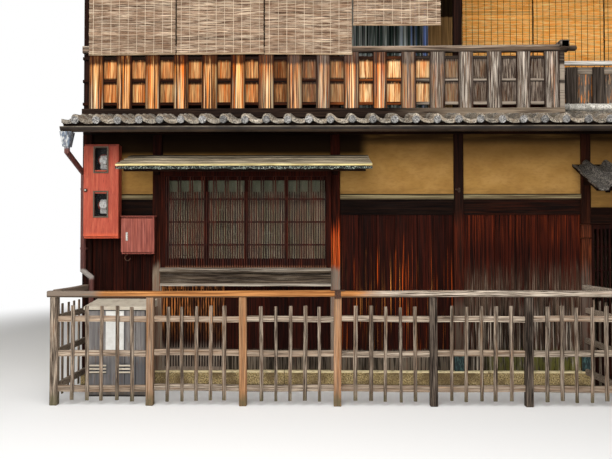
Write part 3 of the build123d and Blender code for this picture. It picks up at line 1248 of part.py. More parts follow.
# Back wall, plainly repeated: boards with window openings below and above, plaster, windows
BACK_WINDOW_Z = (1000.0, BOARDS_TOP)
UPPER_WINDOW_FOOT = 600.0
UPPER_WINDOW_Z = (DECK_TOP + UPPER_WINDOW_FOOT, UPPER_HEAD - 100.0)
BACK_BAR_PITCH = 150.0
back_bays = [bay(left, right) for left, right in zip(BACK_POSTS[:-1], BACK_POSTS[1:])]
with BuildPart() as back_board_wall:
    with BuildSketch(front_plane(BACK - BOARD_SETBACK)):
        for index, span in enumerate(back_bays):
            low_top = BACK_WINDOW_Z[0] if index in (1, 2) else RAIL_BOARD_TOP
            panel(span, (PLINTH_TOP, low_top))
            panel(span, (DECK_TOP, UPPER_WINDOW_Z[0]))
    extrude(amount=BOARD_THICK)
back_board_wall.part.label = "back_board_wall"
export_step(back_board_wall.part, "parts/back_board_wall.step")

with BuildPart() as back_plaster:
    with BuildSketch(front_plane(BACK - PLASTER_SETBACK)):
        for index, span in enumerate(back_bays):
            panel(span, (BACK_WINDOW_Z[1] if index in (1, 2) else RAIL_BOARD_TOP, POSTS_TOP))
            panel(span, (UPPER_WINDOW_Z[1], EAVES_BEAM_BOTTOM))
            if index in (0, 3):
                panel(span, (UPPER_WINDOW_Z[0], UPPER_WINDOW_Z[1]))
    extrude(amount=PLASTER_THICK)
back_plaster.part.label = "back_plaster"
export_step(back_plaster.part, "parts/back_plaster.step")

with BuildPart() as back_windows:
    for span in back_bays[1:3]:
        for window_z in (BACK_WINDOW_Z, UPPER_WINDOW_Z):
            lattice_leaf(span, window_z, BACK - 30, 40, (45, 45, 45), 20, BACK_BAR_PITCH, [])
back_windows.part.label = "back_windows"
export_step(back_windows.part, "parts/back_windows.step")

# Glass of the whole house: one sheet behind each row of sashes
GLASS_THICK = 5.0
with BuildPart() as window_panes:
    block(LATTICE_X, (SASH_BACK, SASH_BACK + GLASS_THICK), LATTICE_Z)
    for opening in range(UPPER_OPENINGS):
        centre = (opening - (UPPER_OPENINGS - 1) / 2) * upper_bay
        block((centre - (upper_bay - POST) / 2, centre + (upper_bay - POST) / 2),
              (UPPER_FRONT + 50, UPPER_FRONT + 50 + GLASS_THICK), (sash_low, UPPER_HEAD))
    for span in back_bays[1:3]:
        for window_z in (BACK_WINDOW_Z, UPPER_WINDOW_Z):
            block(span, (BACK - 70 - GLASS_THICK, BACK - 70), window_z)
window_panes.part.label = "window_panes"
export_step(window_panes.part, "parts/window_panes.step")

# Pent roof across the back
with BuildPart() as back_pent_tiles:
    back_plane = Plane(origin=(0, BACK + SEAT, pent_z(FRONT - SEAT)), x_dir=(-1, 0, 0), z_dir=(0, 1, -PENT_SLOPE))
    with BuildSketch(back_plane):
        with BuildLine():
            tile_line(TILE_TROUGH, TILE_RISE, -HALF, TILE_COLUMNS)
        make_face()
    extrude(amount=along_slope(PENT_OUT, PENT_SLOPE))
    split(bisect_by=Plane.XZ.offset(-(BACK + SEAT)), keep=Keep.BOTTOM)
back_pent_tiles.part.label = "back_pent_tiles"
export_step(back_pent_tiles.part, "parts/back_pent_tiles.step")

with BuildPart() as back_pent_boards:
    rafter_count = int(FRONTAGE / PENT_RAFTER_PITCH)
    with BuildSketch(side_plane(-HALF)):
        with BuildLine():
            Polyline(
                (BACK + SEAT, pent_z(FRONT - SEAT)),
                (BACK + PENT_OUT - 20, pent_z(FRONT - PENT_OUT + 20)),
                (BACK + PENT_OUT - 20, pent_z(FRONT - PENT_OUT + 20) - PENT_BOARD),
                (BACK + SEAT, pent_z(FRONT - SEAT) - PENT_BOARD),
                close=True,
            )
        make_face()
    extrude(amount=FRONTAGE)
    for rafter in range(rafter_count):
        rafter_x = (rafter - (rafter_count - 1) / 2) * PENT_RAFTER_PITCH
        with BuildSketch(side_plane(rafter_x - PENT_RAFTER_WIDE / 2)):
            with BuildLine():
                Polyline(
                    (BACK + SEAT, pent_z(FRONT - SEAT) - PENT_BOARD),
                    (BACK + PENT_OUT - 60, pent_z(FRONT - PENT_OUT + 60) - PENT_BOARD),
                    (BACK + PENT_OUT - 60, pent_z(FRONT - PENT_OUT + 60) - PENT_BOARD - PENT_RAFTER_DEEP + 14),
                    (BACK + SEAT, pent_z(FRONT - SEAT) - PENT_BOARD - PENT_RAFTER_DEEP),
                    close=True,
                )
            make_face()
        extrude(amount=PENT_RAFTER_WIDE)
back_pent_boards.part.label = "back_pent_boards"
export_step(back_pent_boards.part, "parts/back_pent_boards.step")

# Slatted fence before the house: posts, top rail, panels of pickets on three rails, returns
FENCE_X = [-HALF + FENCE_INSET + sum(FENCE_BAYS[:bays]) for bays in range(len(FENCE_BAYS) + 1)]
FENCE_Y = FRONT - FENCE_OUT
FENCE_POST_Y = (FENCE_Y - FENCE_POST / 2, FENCE_Y + FENCE_POST / 2)
FENCE_TOP_Z = (FENCE_TOP - FENCE_TOP_RAIL, FENCE_TOP)
with BuildPart() as fence_posts:
    for post_x in FENCE_X:
        block((post_x - FENCE_POST / 2, post_x + FENCE_POST / 2), FENCE_POST_Y, (0, FENCE_TOP_Z[0]))
fence_posts.part.label = "fence_posts"
export_step(fence_posts.part, "parts/fence_posts.step")

RETURN_Y = (FENCE_POST_Y[1], FRONT - PLINTH_OUT)
with BuildPart() as fence_top_rail:
    with BuildSketch(side_plane(FENCE_X[0] - FENCE_POST / 2)):
        with Locations((FENCE_Y, (FENCE_TOP_Z[0] + FENCE_TOP_Z[1]) / 2)):
            RectangleRounded(FENCE_POST + 6, FENCE_TOP_RAIL, 9)
    extrude(amount=FENCE_X[-1] - FENCE_X[0] + FENCE_POST)
    for return_x in (FENCE_X[0], FENCE_X[-1]):
        block((return_x - 32, return_x + 32), (FENCE_Y, FRONT - SEAT), (FENCE_TOP_Z[0] + 4, FENCE_TOP_Z[1] - 4))
fence_top_rail.part.label = "fence_top_rail"
export_step(fence_top_rail.part, "parts/fence_top_rail.step")

with BuildPart() as fence_panels:
    rail_back = FENCE_Y + FENCE_RAIL_THICK / 2
    rail_front = rail_back - FENCE_RAIL_THICK
    rail_spans = [(rail_z - FENCE_RAIL_DEEP / 2, rail_z + FENCE_RAIL_DEEP / 2) for rail_z in FENCE_RAIL_ZS]
    fence_bays = [(left + FENCE_POST / 2, right - FENCE_POST / 2) for left, right in zip(FENCE_X[:-1], FENCE_X[1:])]
    with BuildSketch(front_plane(rail_back)):
        for clear in fence_bays:
            for rail_span in rail_spans:
                panel(clear, rail_span)
    extrude(amount=FENCE_RAIL_THICK)
    with BuildSketch(front_plane(rail_front - SEAT)):
        picket_xs = [
            clear[0] + (picket + 1) * (clear[1] - clear[0]) / (PICKET_COUNT + 1)
            for clear in fence_bays
            for picket in range(PICKET_COUNT)
        ]
        with Locations(*[(picket_x, (PICKET_Z[0] + PICKET_Z[1]) / 2) for picket_x in picket_xs]):
            Rectangle(PICKET_WIDE, PICKET_Z[1] - PICKET_Z[0])
    extrude(amount=PICKET_THICK)
    for side, return_x in ((-1, FENCE_X[0]), (1, FENCE_X[-1])):
        with BuildSketch(side_plane(return_x - 18)):
            for rail_span in rail_spans:
                panel(RETURN_Y, rail_span)
        extrude(amount=36)
        with BuildSketch(side_plane(return_x + side * (18 + SEAT))):
            return_pitch = (RETURN_Y[1] - RETURN_Y[0]) / RETURN_PICKETS
            with Locations(((RETURN_Y[0] + RETURN_Y[1]) / 2, (PICKET_Z[0] + PICKET_Z[1]) / 2)):
                with GridLocations(return_pitch, 1, RETURN_PICKETS, 1):
                    Rectangle(PICKET_WIDE, PICKET_Z[1] - PICKET_Z[0])
        extrude(amount=side * PICKET_THICK)
fence_panels.part.label = "fence_panels"
export_step(fence_panels.part, "parts/fence_panels.step")

# Grey utility cabinet behind the first fence bay, with a sloped lid
CABINET_WIDE = 605.0
CABINET_DEEP = 400.0
CABINET_TOP = 880.0
CABINET_LEFT = -HALF + 242.5
CABINET_X = (CABINET_LEFT, CABINET_LEFT + CABINET_WIDE)
CABINET_Y = (FRONT - 150.0 - CABINET_DEEP, FRONT - 150.0)
with BuildPart() as utility_cabinet:
    block(CABINET_X, CABINET_Y, (0, CABINET_TOP))
    chamfer(utility_cabinet.edges().filter_by(Axis.Z), 6)
    for group_x in (CABINET_X[0] + 135, CABINET_X[0] + 410):
        for louvre in range(3):
            with Locations((group_x, CABINET_Y[0], 270 + louvre * 34)):
                Box(150, 12, 12, mode=Mode.SUBTRACT)
utility_cabinet.part.label = "utility_cabinet"
export_step(utility_cabinet.part, "parts/utility_cabinet.step")

with BuildPart() as cabinet_lid:
    with BuildSketch(side_plane(CABINET_X[0] - 22)):
        with BuildLine():
            Polyline(
                (CABINET_Y[0] - 22, CABINET_TOP),
                (CABINET_Y[1] + 10, CABINET_TOP),
                (CABINET_Y[1] + 10, CABINET_TOP + 78),
                (CABINET_Y[0] - 12, CABINET_TOP + 34),
                (CABINET_Y[0] - 22, CABINET_TOP + 22),
                close=True,
            )
        make_face()
    extrude(amount=CABINET_X[1] - CABINET_X[0] + 44)
cabinet_lid.part.label = "cabinet_lid"
export_step(cabinet_lid.part, "parts/cabinet_lid.step")
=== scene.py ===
import logging
import math
import random
from dataclasses import dataclass, replace
from enum import Enum
from typing import Protocol, Sequence

import bmesh
import bpy
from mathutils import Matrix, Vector


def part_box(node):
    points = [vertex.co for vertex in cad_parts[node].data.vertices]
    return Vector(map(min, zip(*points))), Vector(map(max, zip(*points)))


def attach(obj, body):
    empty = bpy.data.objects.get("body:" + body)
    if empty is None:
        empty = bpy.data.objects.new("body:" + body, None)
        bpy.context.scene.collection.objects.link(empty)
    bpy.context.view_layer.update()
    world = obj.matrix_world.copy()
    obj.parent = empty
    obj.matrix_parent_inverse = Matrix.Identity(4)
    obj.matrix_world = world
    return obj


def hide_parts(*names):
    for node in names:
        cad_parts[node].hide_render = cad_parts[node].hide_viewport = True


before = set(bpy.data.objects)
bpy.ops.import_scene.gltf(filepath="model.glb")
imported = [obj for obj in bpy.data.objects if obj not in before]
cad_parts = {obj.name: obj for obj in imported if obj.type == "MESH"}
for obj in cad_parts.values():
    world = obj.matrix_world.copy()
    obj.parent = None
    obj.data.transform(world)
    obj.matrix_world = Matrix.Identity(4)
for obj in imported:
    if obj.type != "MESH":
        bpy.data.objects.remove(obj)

log = logging.getLogger("town_house")

HOUSE = "house"
TURN = 2 * math.pi
WHITE = (1.0, 1.0, 1.0, 1.0)

# Material slots of the record
WOOD, DARK_WOOD, ORANGE_WOOD, ROOF_TILE = "weathered_wood", "dark_wood", "orange_wood", "roof_tile"
METAL, GREY_PAINT = "gutter_metal", "grey_paint"

# Sockets of a Mix node for colours: both colours and the result
MIX_A, MIX_B, MIX_OUT = 6, 7, 2

# Noise runs from about 0.28 to 0.72, so a cover from 0 to 1 is set between these
NOISE_TOP, NOISE_REACH = 0.72, 0.44

Node = bpy.types.Node
Socket = bpy.types.NodeSocket
Tree = bpy.types.NodeTree
Piece = bpy.types.Object
Span = tuple[float, float]
Pair = tuple[float, float]
Point = tuple[float, float, float]
Names = tuple[str, ...]
Floats = tuple[float, ...]
Spans = tuple[Span, ...]
Box = tuple[Span, Span, Span]


def linear(hex_code: str) -> tuple[float, float, float, float]:
    """Turns an sRGB colour of six hex digits into linear light, with an alpha of one."""
    shares = [int(hex_code[i:i + 2], 16) / 255 for i in (0, 2, 4)]
    light = [s / 12.92 if s <= 0.04045 else ((s + 0.055) / 1.055) ** 2.4 for s in shares]
    return (*light, 1.0)


def add_node(tree: Tree, kind: str, inputs: dict | None = None, **settings: object) -> Node:
    """Adds one node to a tree, with its inputs and its settings.

    Args:
        tree: The node tree that gets the node.
        kind: The node's type name.
        inputs: Input names or numbers, each with a value or a socket to link from.
        settings: Attributes of the node and their values.

    Returns:
        The new node.
    """
    node = tree.nodes.new(kind)
    for name, value in settings.items():
        setattr(node, name, value)
    for key, value in (inputs or {}).items():
        if isinstance(value, Socket):
            tree.links.new(value, node.inputs[key])
        else:
            node.inputs[key].default_value = value
    return node


def put(name: str, data: bpy.types.ID) -> Piece:
    """Puts a mesh, lamp or camera into the scene as an object of that name."""
    made = bpy.data.objects.new(name, data)
    bpy.context.scene.collection.objects.link(made)
    return made


def about(middle: float, half: float) -> Span:
    """The span round a middle."""
    return middle - half, middle + half


def even(span: Span, count: int) -> list[float]:
    """The places that divide a span into that many even lengths, both its ends included."""
    return [span[0] + (span[1] - span[0]) * number / count for number in range(count + 1)]


def mesh_of(name: str, points: Sequence[Point], faces: Sequence[Sequence[int]]) -> bpy.types.Mesh:
    """Makes a mesh of corners and of faces, which all come to point outwards."""
    mesh = bpy.data.meshes.new(name)
    mesh.from_pydata(points, [], faces)
    shape = bmesh.new()
    shape.from_mesh(mesh)
    bmesh.ops.recalc_face_normals(shape, faces=shape.faces)
    shape.to_mesh(mesh)
    shape.free()
    return mesh


def circle(middle: Vector, side: Vector, other: Vector, radius: float, sides: int) -> list[Point]:
    """Points of a circle.

    Args:
        middle: Its middle.
        side: A way across it, of length one.
        other: The way at a right angle to that.
        radius: Its radius.
        sides: Number of its points.

    Returns:
        The points, in order.
    """
    turns = [TURN * n / sides for n in range(sides)]
    return [tuple(middle + side * radius * math.cos(turn) + other * radius * math.sin(turn))
            for turn in turns]


class Grain(Enum):
    """Way that the grain of a board or the pull of a tool runs."""

    X = 0
    Y = 1
    Z = 2
    NONE = 3

    def stretch(self, across_mm: float, along_mm: float) -> tuple[float, float, float]:
        """Scale on each axis of a pattern of that width and length, in cycles a metre."""
        across, along = 1000 / across_mm, 1000 / along_mm
        return tuple(along if axis == self.value else across for axis in range(3))


X, Y, Z = Grain.X, Grain.Y, Grain.Z


@dataclass(frozen=True)
class Zone:
    """Stretch of the house over which a colour comes in: none of it at start, all of it at end.

    Both are metres along the axis. The edge is ragged where streaks carry the colour further, by
    that many metres.
    """

    axis: Grain
    start: float
    end: float
    ragged: float = 0.0


@dataclass(frozen=True)
class Layer:
    """A colour over the ones below it, in streaks, in zones, or both.

    strength is how much of it shows where it is thickest. across_mm and along_mm are the size of
    its streaks or spots, cover the share of the surface that they take, and edge how soft their
    edges are. attribute names a mark of the piece that the layer follows.
    """

    colour: str
    strength: float = 1.0
    across_mm: float = 0.0
    along_mm: float = 0.0
    cover: float = 0.5
    edge: float = 0.12
    zones: tuple[Zone, ...] = ()
    attribute: str = ""
    seed: float = 0.0


@dataclass(frozen=True)
class Finish:
    """A surface: its base colour, the layers on it, its gloss and its relief.

    relief is a list of (across mm, along mm, height mm), tone how much a piece's own tone brightens
    or darkens it, and seeded whether each board shifts the pattern.
    """

    name: str
    colour: str
    grain: Grain = Grain.NONE
    layers: tuple[Layer, ...] = ()
    roughness: float = 0.75
    rough_change: float = 0.1
    metallic: float = 0.0
    specular: float = 0.5
    alpha: float = 1.0
    relief: tuple[tuple[float, float, float], ...] = ()
    tone: float = 0.25
    seeded: bool = True

    SHIFT = (3.1, 5.3, 7.7)
    RAGGED_MM = (22, 260)
    GLOSS_MM = (60, 300)

    def material(self) -> bpy.types.Material:
        """Builds the finish as a node material, once, and gives it back after that."""
        found = bpy.data.materials.get(self.name)
        if found:
            return found
        made = bpy.data.materials.new(self.name)
        made.use_nodes = True
        tree = made.node_tree
        shader = tree.nodes["Principled BSDF"]
        shader.inputs["Metallic"].default_value = self.metallic
        shader.inputs["Specular IOR Level"].default_value = self.specular
        shader.inputs["Alpha"].default_value = self.alpha
        place = self._place(tree)
        tree.links.new(self._colour(tree, place), shader.inputs["Base Color"])
        tree.links.new(self._gloss(tree, place), shader.inputs["Roughness"])
        self._relief(tree, place, shader)
        return made

    def _place(self, tree: Tree) -> Socket:
        """Coordinates of the house, shifted by each board's own seed."""
        where = add_node(tree, "ShaderNodeTexCoord").outputs["Object"]
        if not self.seeded:
            return where
        seed = add_node(tree, "ShaderNodeAttribute", attribute_name="seed").outputs["Fac"]
        shift = add_node(tree, "ShaderNodeVectorMath", {0: self.SHIFT, "Scale": seed}, operation="SCALE")
        return add_node(tree, "ShaderNodeVectorMath", {0: where, 1: shift.outputs[0]},
                        operation="ADD").outputs[0]

    def _pattern(self, tree: Tree, place: Socket, size_mm: Pair, seed: float) -> Socket:
        """Soft noise from 0 to 1 that is stretched along the grain.

        Args:
            tree: The material's tree.
            place: The coordinates that it reads.
            size_mm: Its size across and along the grain.
            seed: A number that makes it differ from the others.

        Returns:
            The noise value.
        """
        scaled = add_node(tree, "ShaderNodeMapping",
                          {"Vector": place, "Location": (seed, seed * 1.7, seed * 2.3),
                           "Scale": self.grain.stretch(*size_mm)})
        noise = add_node(tree, "ShaderNodeTexNoise",
                         {"Vector": scaled.outputs["Vector"], "Scale": 1.0, "Detail": 3.0, "Roughness": 0.6})
        return noise.outputs["Fac"]

    def _mask(self, tree: Tree, place: Socket, layer: Layer) -> Socket | float:
        """Where a layer shows: its strength times its streaks, zones and attribute.

        Args:
            tree: The material's tree.
            place: The coordinates that streaks read.
            layer: The layer.

        Returns:
            A socket or a plain number from 0 to 1.
        """
        factor: Socket | float = layer.strength
        if layer.across_mm:
            size_mm = (layer.across_mm, layer.along_mm or layer.across_mm)
            middle = NOISE_TOP - NOISE_REACH * layer.cover
            factor = add_node(tree, "ShaderNodeMapRange",
                              {"Value": self._pattern(tree, place, size_mm, layer.seed),
                               "From Min": middle - layer.edge, "From Max": middle + layer.edge,
                               "To Min": 0.0, "To Max": layer.strength},
                              interpolation_type="SMOOTHSTEP").outputs["Result"]
        for zone in layer.zones:
            factor = self._within(tree, place, layer, zone, factor)
        if layer.attribute:
            given = add_node(tree, "ShaderNodeAttribute", attribute_name=layer.attribute).outputs["Fac"]
            factor = add_node(tree, "ShaderNodeMath", {0: given, 1: factor}, operation="MULTIPLY",
                              use_clamp=True).outputs[0]
        return factor

    def _within(self, tree: Tree, place: Socket, layer: Layer, zone: Zone, factor: Socket | float) -> Socket:
        """Keeps a layer to one of its zones.

        Args:
            tree: The material's tree.
            place: The coordinates that streaks read.
            layer: The layer.
            zone: The zone.
            factor: Where the layer shows so far.

        Returns:
            Where it shows inside the zone.
        """
        where = add_node(tree, "ShaderNodeTexCoord").outputs["Object"]
        height = add_node(tree, "ShaderNodeSeparateXYZ", {"Vector": where}).outputs[zone.axis.value]
        lift = zone.ragged
        if lift:
            rough = self._pattern(tree, place, self.RAGGED_MM, layer.seed + 4)
            height = add_node(tree, "ShaderNodeMath", {0: rough, 1: lift * 2, 2: height},
                              operation="MULTIPLY_ADD").outputs[0]
        inside = add_node(tree, "ShaderNodeMapRange",
                          {"Value": height, "From Min": zone.start + lift, "From Max": zone.end + lift},
                          interpolation_type="SMOOTHSTEP").outputs["Result"]
        return add_node(tree, "ShaderNodeMath", {0: inside, 1: factor}, operation="MULTIPLY").outputs[0]

    def _colour(self, tree: Tree, place: Socket) -> Socket:
        """All the layers over the base colour, then the piece's own tone."""
        below: Socket | tuple = linear(self.colour)
        for layer in self.layers:
            below = add_node(tree, "ShaderNodeMix",
                             {0: self._mask(tree, place, layer), MIX_A: below, MIX_B: linear(layer.colour)},
                             data_type="RGBA").outputs[MIX_OUT]
        own = add_node(tree, "ShaderNodeAttribute", attribute_name="tone").outputs["Fac"]
        bright = add_node(tree, "ShaderNodeMath", {0: own, 1: self.tone, 2: 1.0}, operation="MULTIPLY_ADD")
        toned = add_node(tree, "ShaderNodeHueSaturation", {"Color": below, "Value": bright.outputs[0]})
        return toned.outputs["Color"]

    def _gloss(self, tree: Tree, place: Socket) -> Socket:
        """Roughness that changes a little over the surface."""
        patches = self._pattern(tree, place, self.GLOSS_MM, 8.0)
        return add_node(tree, "ShaderNodeMapRange",
                        {"Value": patches, "From Min": 0.3, "From Max": 0.7,
                         "To Min": self.roughness - self.rough_change,
                         "To Max": min(1.0, self.roughness + self.rough_change)}).outputs["Result"]

    def _relief(self, tree: Tree, place: Socket, shader: Node) -> None:
        """Fine relief as bump, one node for each size of it."""
        normal = None
        for number, (across_mm, along_mm, height_mm) in enumerate(self.relief):
            shape = self._pattern(tree, place, (across_mm, along_mm), 11.0 + number)
            inputs = {"Height": shape, "Distance": height_mm / 1000, "Strength": 0.9}
            if normal:
                inputs["Normal"] = normal
            normal = add_node(tree, "ShaderNodeBump", inputs).outputs["Normal"]
        if normal:
            tree.links.new(normal, shader.inputs["Normal"])


def timber(name: str, grain: Grain, dark: str, middle: str, light: str, *extra: Layer, wide_mm: float = 26,
           long_mm: float = 700, light_cover: float = 0.42, dark_cover: float = 0.36,
           tone: float = 0.25) -> Finish:
    """A planed or weathered board: broad streaks of three colours with fine dark grain in them.

    Args:
        name: Name of the finish.
        grain: Way that the grain runs.
        dark: Colour of late wood, dirt and cracks.
        middle: Colour of most of the board.
        light: Colour of worn and early wood.
        extra: Layers that lie over the grain.
        wide_mm: Width of a broad streak.
        long_mm: Length of a broad streak.
        light_cover: Share of the light streaks.
        dark_cover: Share of the dark ones.
        tone: How much each board's own tone shows.

    Returns:
        The finish.
    """
    layers = (
        Layer(light, 0.9, wide_mm, long_mm, light_cover, 0.14, seed=1.0),
        Layer(dark, 0.85, wide_mm * 0.8, long_mm, dark_cover, 0.12, seed=2.0),
        Layer(light, 0.5, 7, 320, 0.4, 0.12, seed=3.0),
        Layer(dark, 0.7, 5, 380, 0.4, 0.1, seed=5.0),
    ) + extra
    relief = ((5, 320, 1.2), (24, 600, 1.6))
    return Finish(name, middle, grain, layers, 0.8, specular=0.05, relief=relief, tone=tone)


class Mesher:
    """Collects closed shells and makes one piece of them, with marks for each shell.

    The marks are its tone, the seed of its pattern and its age. The materials read them.
    """

    def __init__(self, seed: int = 1) -> None:
        """Starts empty, with its own fixed random numbers."""
        self.dice = random.Random(seed)
        self.points: list[Point] = []
        self.faces: list[tuple[int, ...]] = []
        self.marks: dict[str, list[float]] = {"tone": [], "seed": [], "age": []}

    def loft(self, rings: Sequence[Sequence[Point]], tone: float | None = None, age: float = 0.0,
             seed: float | None = None) -> None:
        """Adds a shell through rings of as many points each, capped at both ends.

        Args:
            rings: The rings, in order.
            tone: Brightness of the shell from -1 to 1, or None for a random one.
            age: How far the shell is weathered, from 0 to 1.
            seed: Shift of its pattern, or None for a random one.
        """
        first, many, sides = len(self.points), len(rings), len(rings[0])
        self.points += [tuple(point) for ring in rings for point in ring]
        tone = self.dice.uniform(-1, 1) if tone is None else tone
        seed = self.dice.uniform(0, 10) if seed is None else seed
        for name, value in (("tone", tone), ("seed", seed), ("age", age)):
            self.marks[name] += [value] * (many * sides)
        for near in range(first, first + (many - 1) * sides, sides):
            for side in range(sides):
                turn = (side + 1) % sides
                self.faces.append((near + side, near + turn, near + sides + turn, near + sides + side))
        for start in (first, first + (many - 1) * sides):
            self.faces.append(tuple(range(start, start + sides)))

    def bar(self, x: Span, y: Span, z: Span, along: Grain = Z, chamfer: float = 0.003, wander: float = 0.0,
            steps: int = 1, **look: float) -> None:
        """Adds a squared timber with chamfered edges, straight or a little crooked.

        Args:
            x: Its span on X.
            y: Its span on Y.
            z: Its span on Z.
            along: Way that it runs.
            chamfer: Width of its chamfers.
            wander: How far its line strays, in metres.
            steps: Number of lengths that it is made of.
            look: Tone, age and seed of the shell.
        """
        spans = (x, y, z)
        run = along.value
        others = [axis for axis in range(3) if axis != run]
        halves = [abs(spans[axis][1] - spans[axis][0]) / 2 for axis in others]
        centres = [(spans[axis][1] + spans[axis][0]) / 2 for axis in others]
        start, end = spans[run]
        cut = min(chamfer, 0.45 * min(halves), 0.45 * abs(end - start))
        inset = math.copysign(cut, end - start)
        long = end - start - 2 * inset
        between = [(start + inset + long * step / steps, 0.0) for step in range(steps + 1)]
        phase = [self.dice.uniform(0, 6.3) for _ in others]
        rings = []
        for place, shrink in ((start, cut), *between, (end, cut)):
            share = (place - start) / (end - start)
            bend = [wander * math.sin(p + share * (2.2 + 1.7 * n)) for n, p in enumerate(phase)]
            a, b = (half - shrink for half in halves)
            corner = max(cut - shrink, cut * 0.4)
            ring = []
            for u, v in ((a, b - corner), (a - corner, b), (corner - a, b), (-a, b - corner),
                         (-a, corner - b), (corner - a, -b), (a - corner, -b), (a, corner - b)):
                point = [0.0, 0.0, 0.0]
                point[run] = place
                point[others[0]] = centres[0] + u + bend[0]
                point[others[1]] = centres[1] + v + bend[1]
                ring.append(tuple(point))
            rings.append(ring)
        self.loft(rings, **look)

    def turned(self, profile: Sequence[Pair], foot: Point, axis: Vector, sides: int, **look: float) -> None:
        """Adds a round body: rings of a radius at a distance along an axis.

        Args:
            profile: (distance along the axis, radius) of each ring.
            foot: Where the axis starts.
            axis: Way that it points.
            sides: Sides of the round.
            look: Tone, age and seed of the shell.
        """
        way = axis.normalized()
        side = way.orthogonal().normalized()
        other = way.cross(side)
        self.loft([circle(Vector(foot) + way * far, side, other, radius, sides) for far, radius in profile],
                  **look)

    def tube(self, path: Sequence[Point], radius: float, sides: int = 8, **look: float) -> None:
        """Adds a round bar of one thickness that follows points.

        Args:
            path: The points of its centre line.
            radius: Its radius.
            sides: Sides of the round.
            look: Tone, age and seed of the shell.
        """
        points = [Vector(p) for p in path]
        rings = []
        side = None
        for n, point in enumerate(points):
            way = (points[min(n + 1, len(points) - 1)] - points[max(n - 1, 0)]).normalized()
            side = (way.orthogonal() if side is None else side - way * side.dot(way)).normalized()
            rings.append(circle(point, side, way.cross(side), radius, sides))
        self.loft(rings, **look)

    def piece(self, name: str, finish: Finish, slot: str, stands_for: Names = (), body: str = HOUSE,
              smooth: bool = False) -> None:
        """Makes the piece of what was collected, dressed and riding on its body.

        Args:
            name: Name of the piece.
            finish: Its finish.
            slot: Material slot of the record that it belongs to; not used.
            stands_for: Nodes that it replaces.
            body: Body that it rides on.
            smooth: Whether its faces are shaded smooth.
        """
        mesh = mesh_of(name, self.points, self.faces)
        for mark, values in self.marks.items():
            mesh.attributes.new(mark, "FLOAT", "POINT").data.foreach_set("value", values)
        mesh.materials.append(finish.material())
        if smooth:
            mesh.shade_smooth()
        settle(put(name, mesh), stands_for, body)


def settle(piece: Piece, stands_for: Names = (), body: str = HOUSE) -> None:
    """Puts a finished piece on its body and the nodes that it stands for.

    Args:
        piece: The piece.
        stands_for: Nodes that it replaces.
        body: Body that it rides on.
    """
    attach(piece, body)
    if stands_for:
        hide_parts(*stands_for)
    log.info("piece %s: %d faces", piece.name, len(piece.data.polygons))


def dress(finish: Finish, *names: str) -> None:
    """Gives the nodes of the frame with those names a finish."""
    for name in names:
        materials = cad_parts[name].data.materials
        materials.clear()
        materials.append(finish.material())


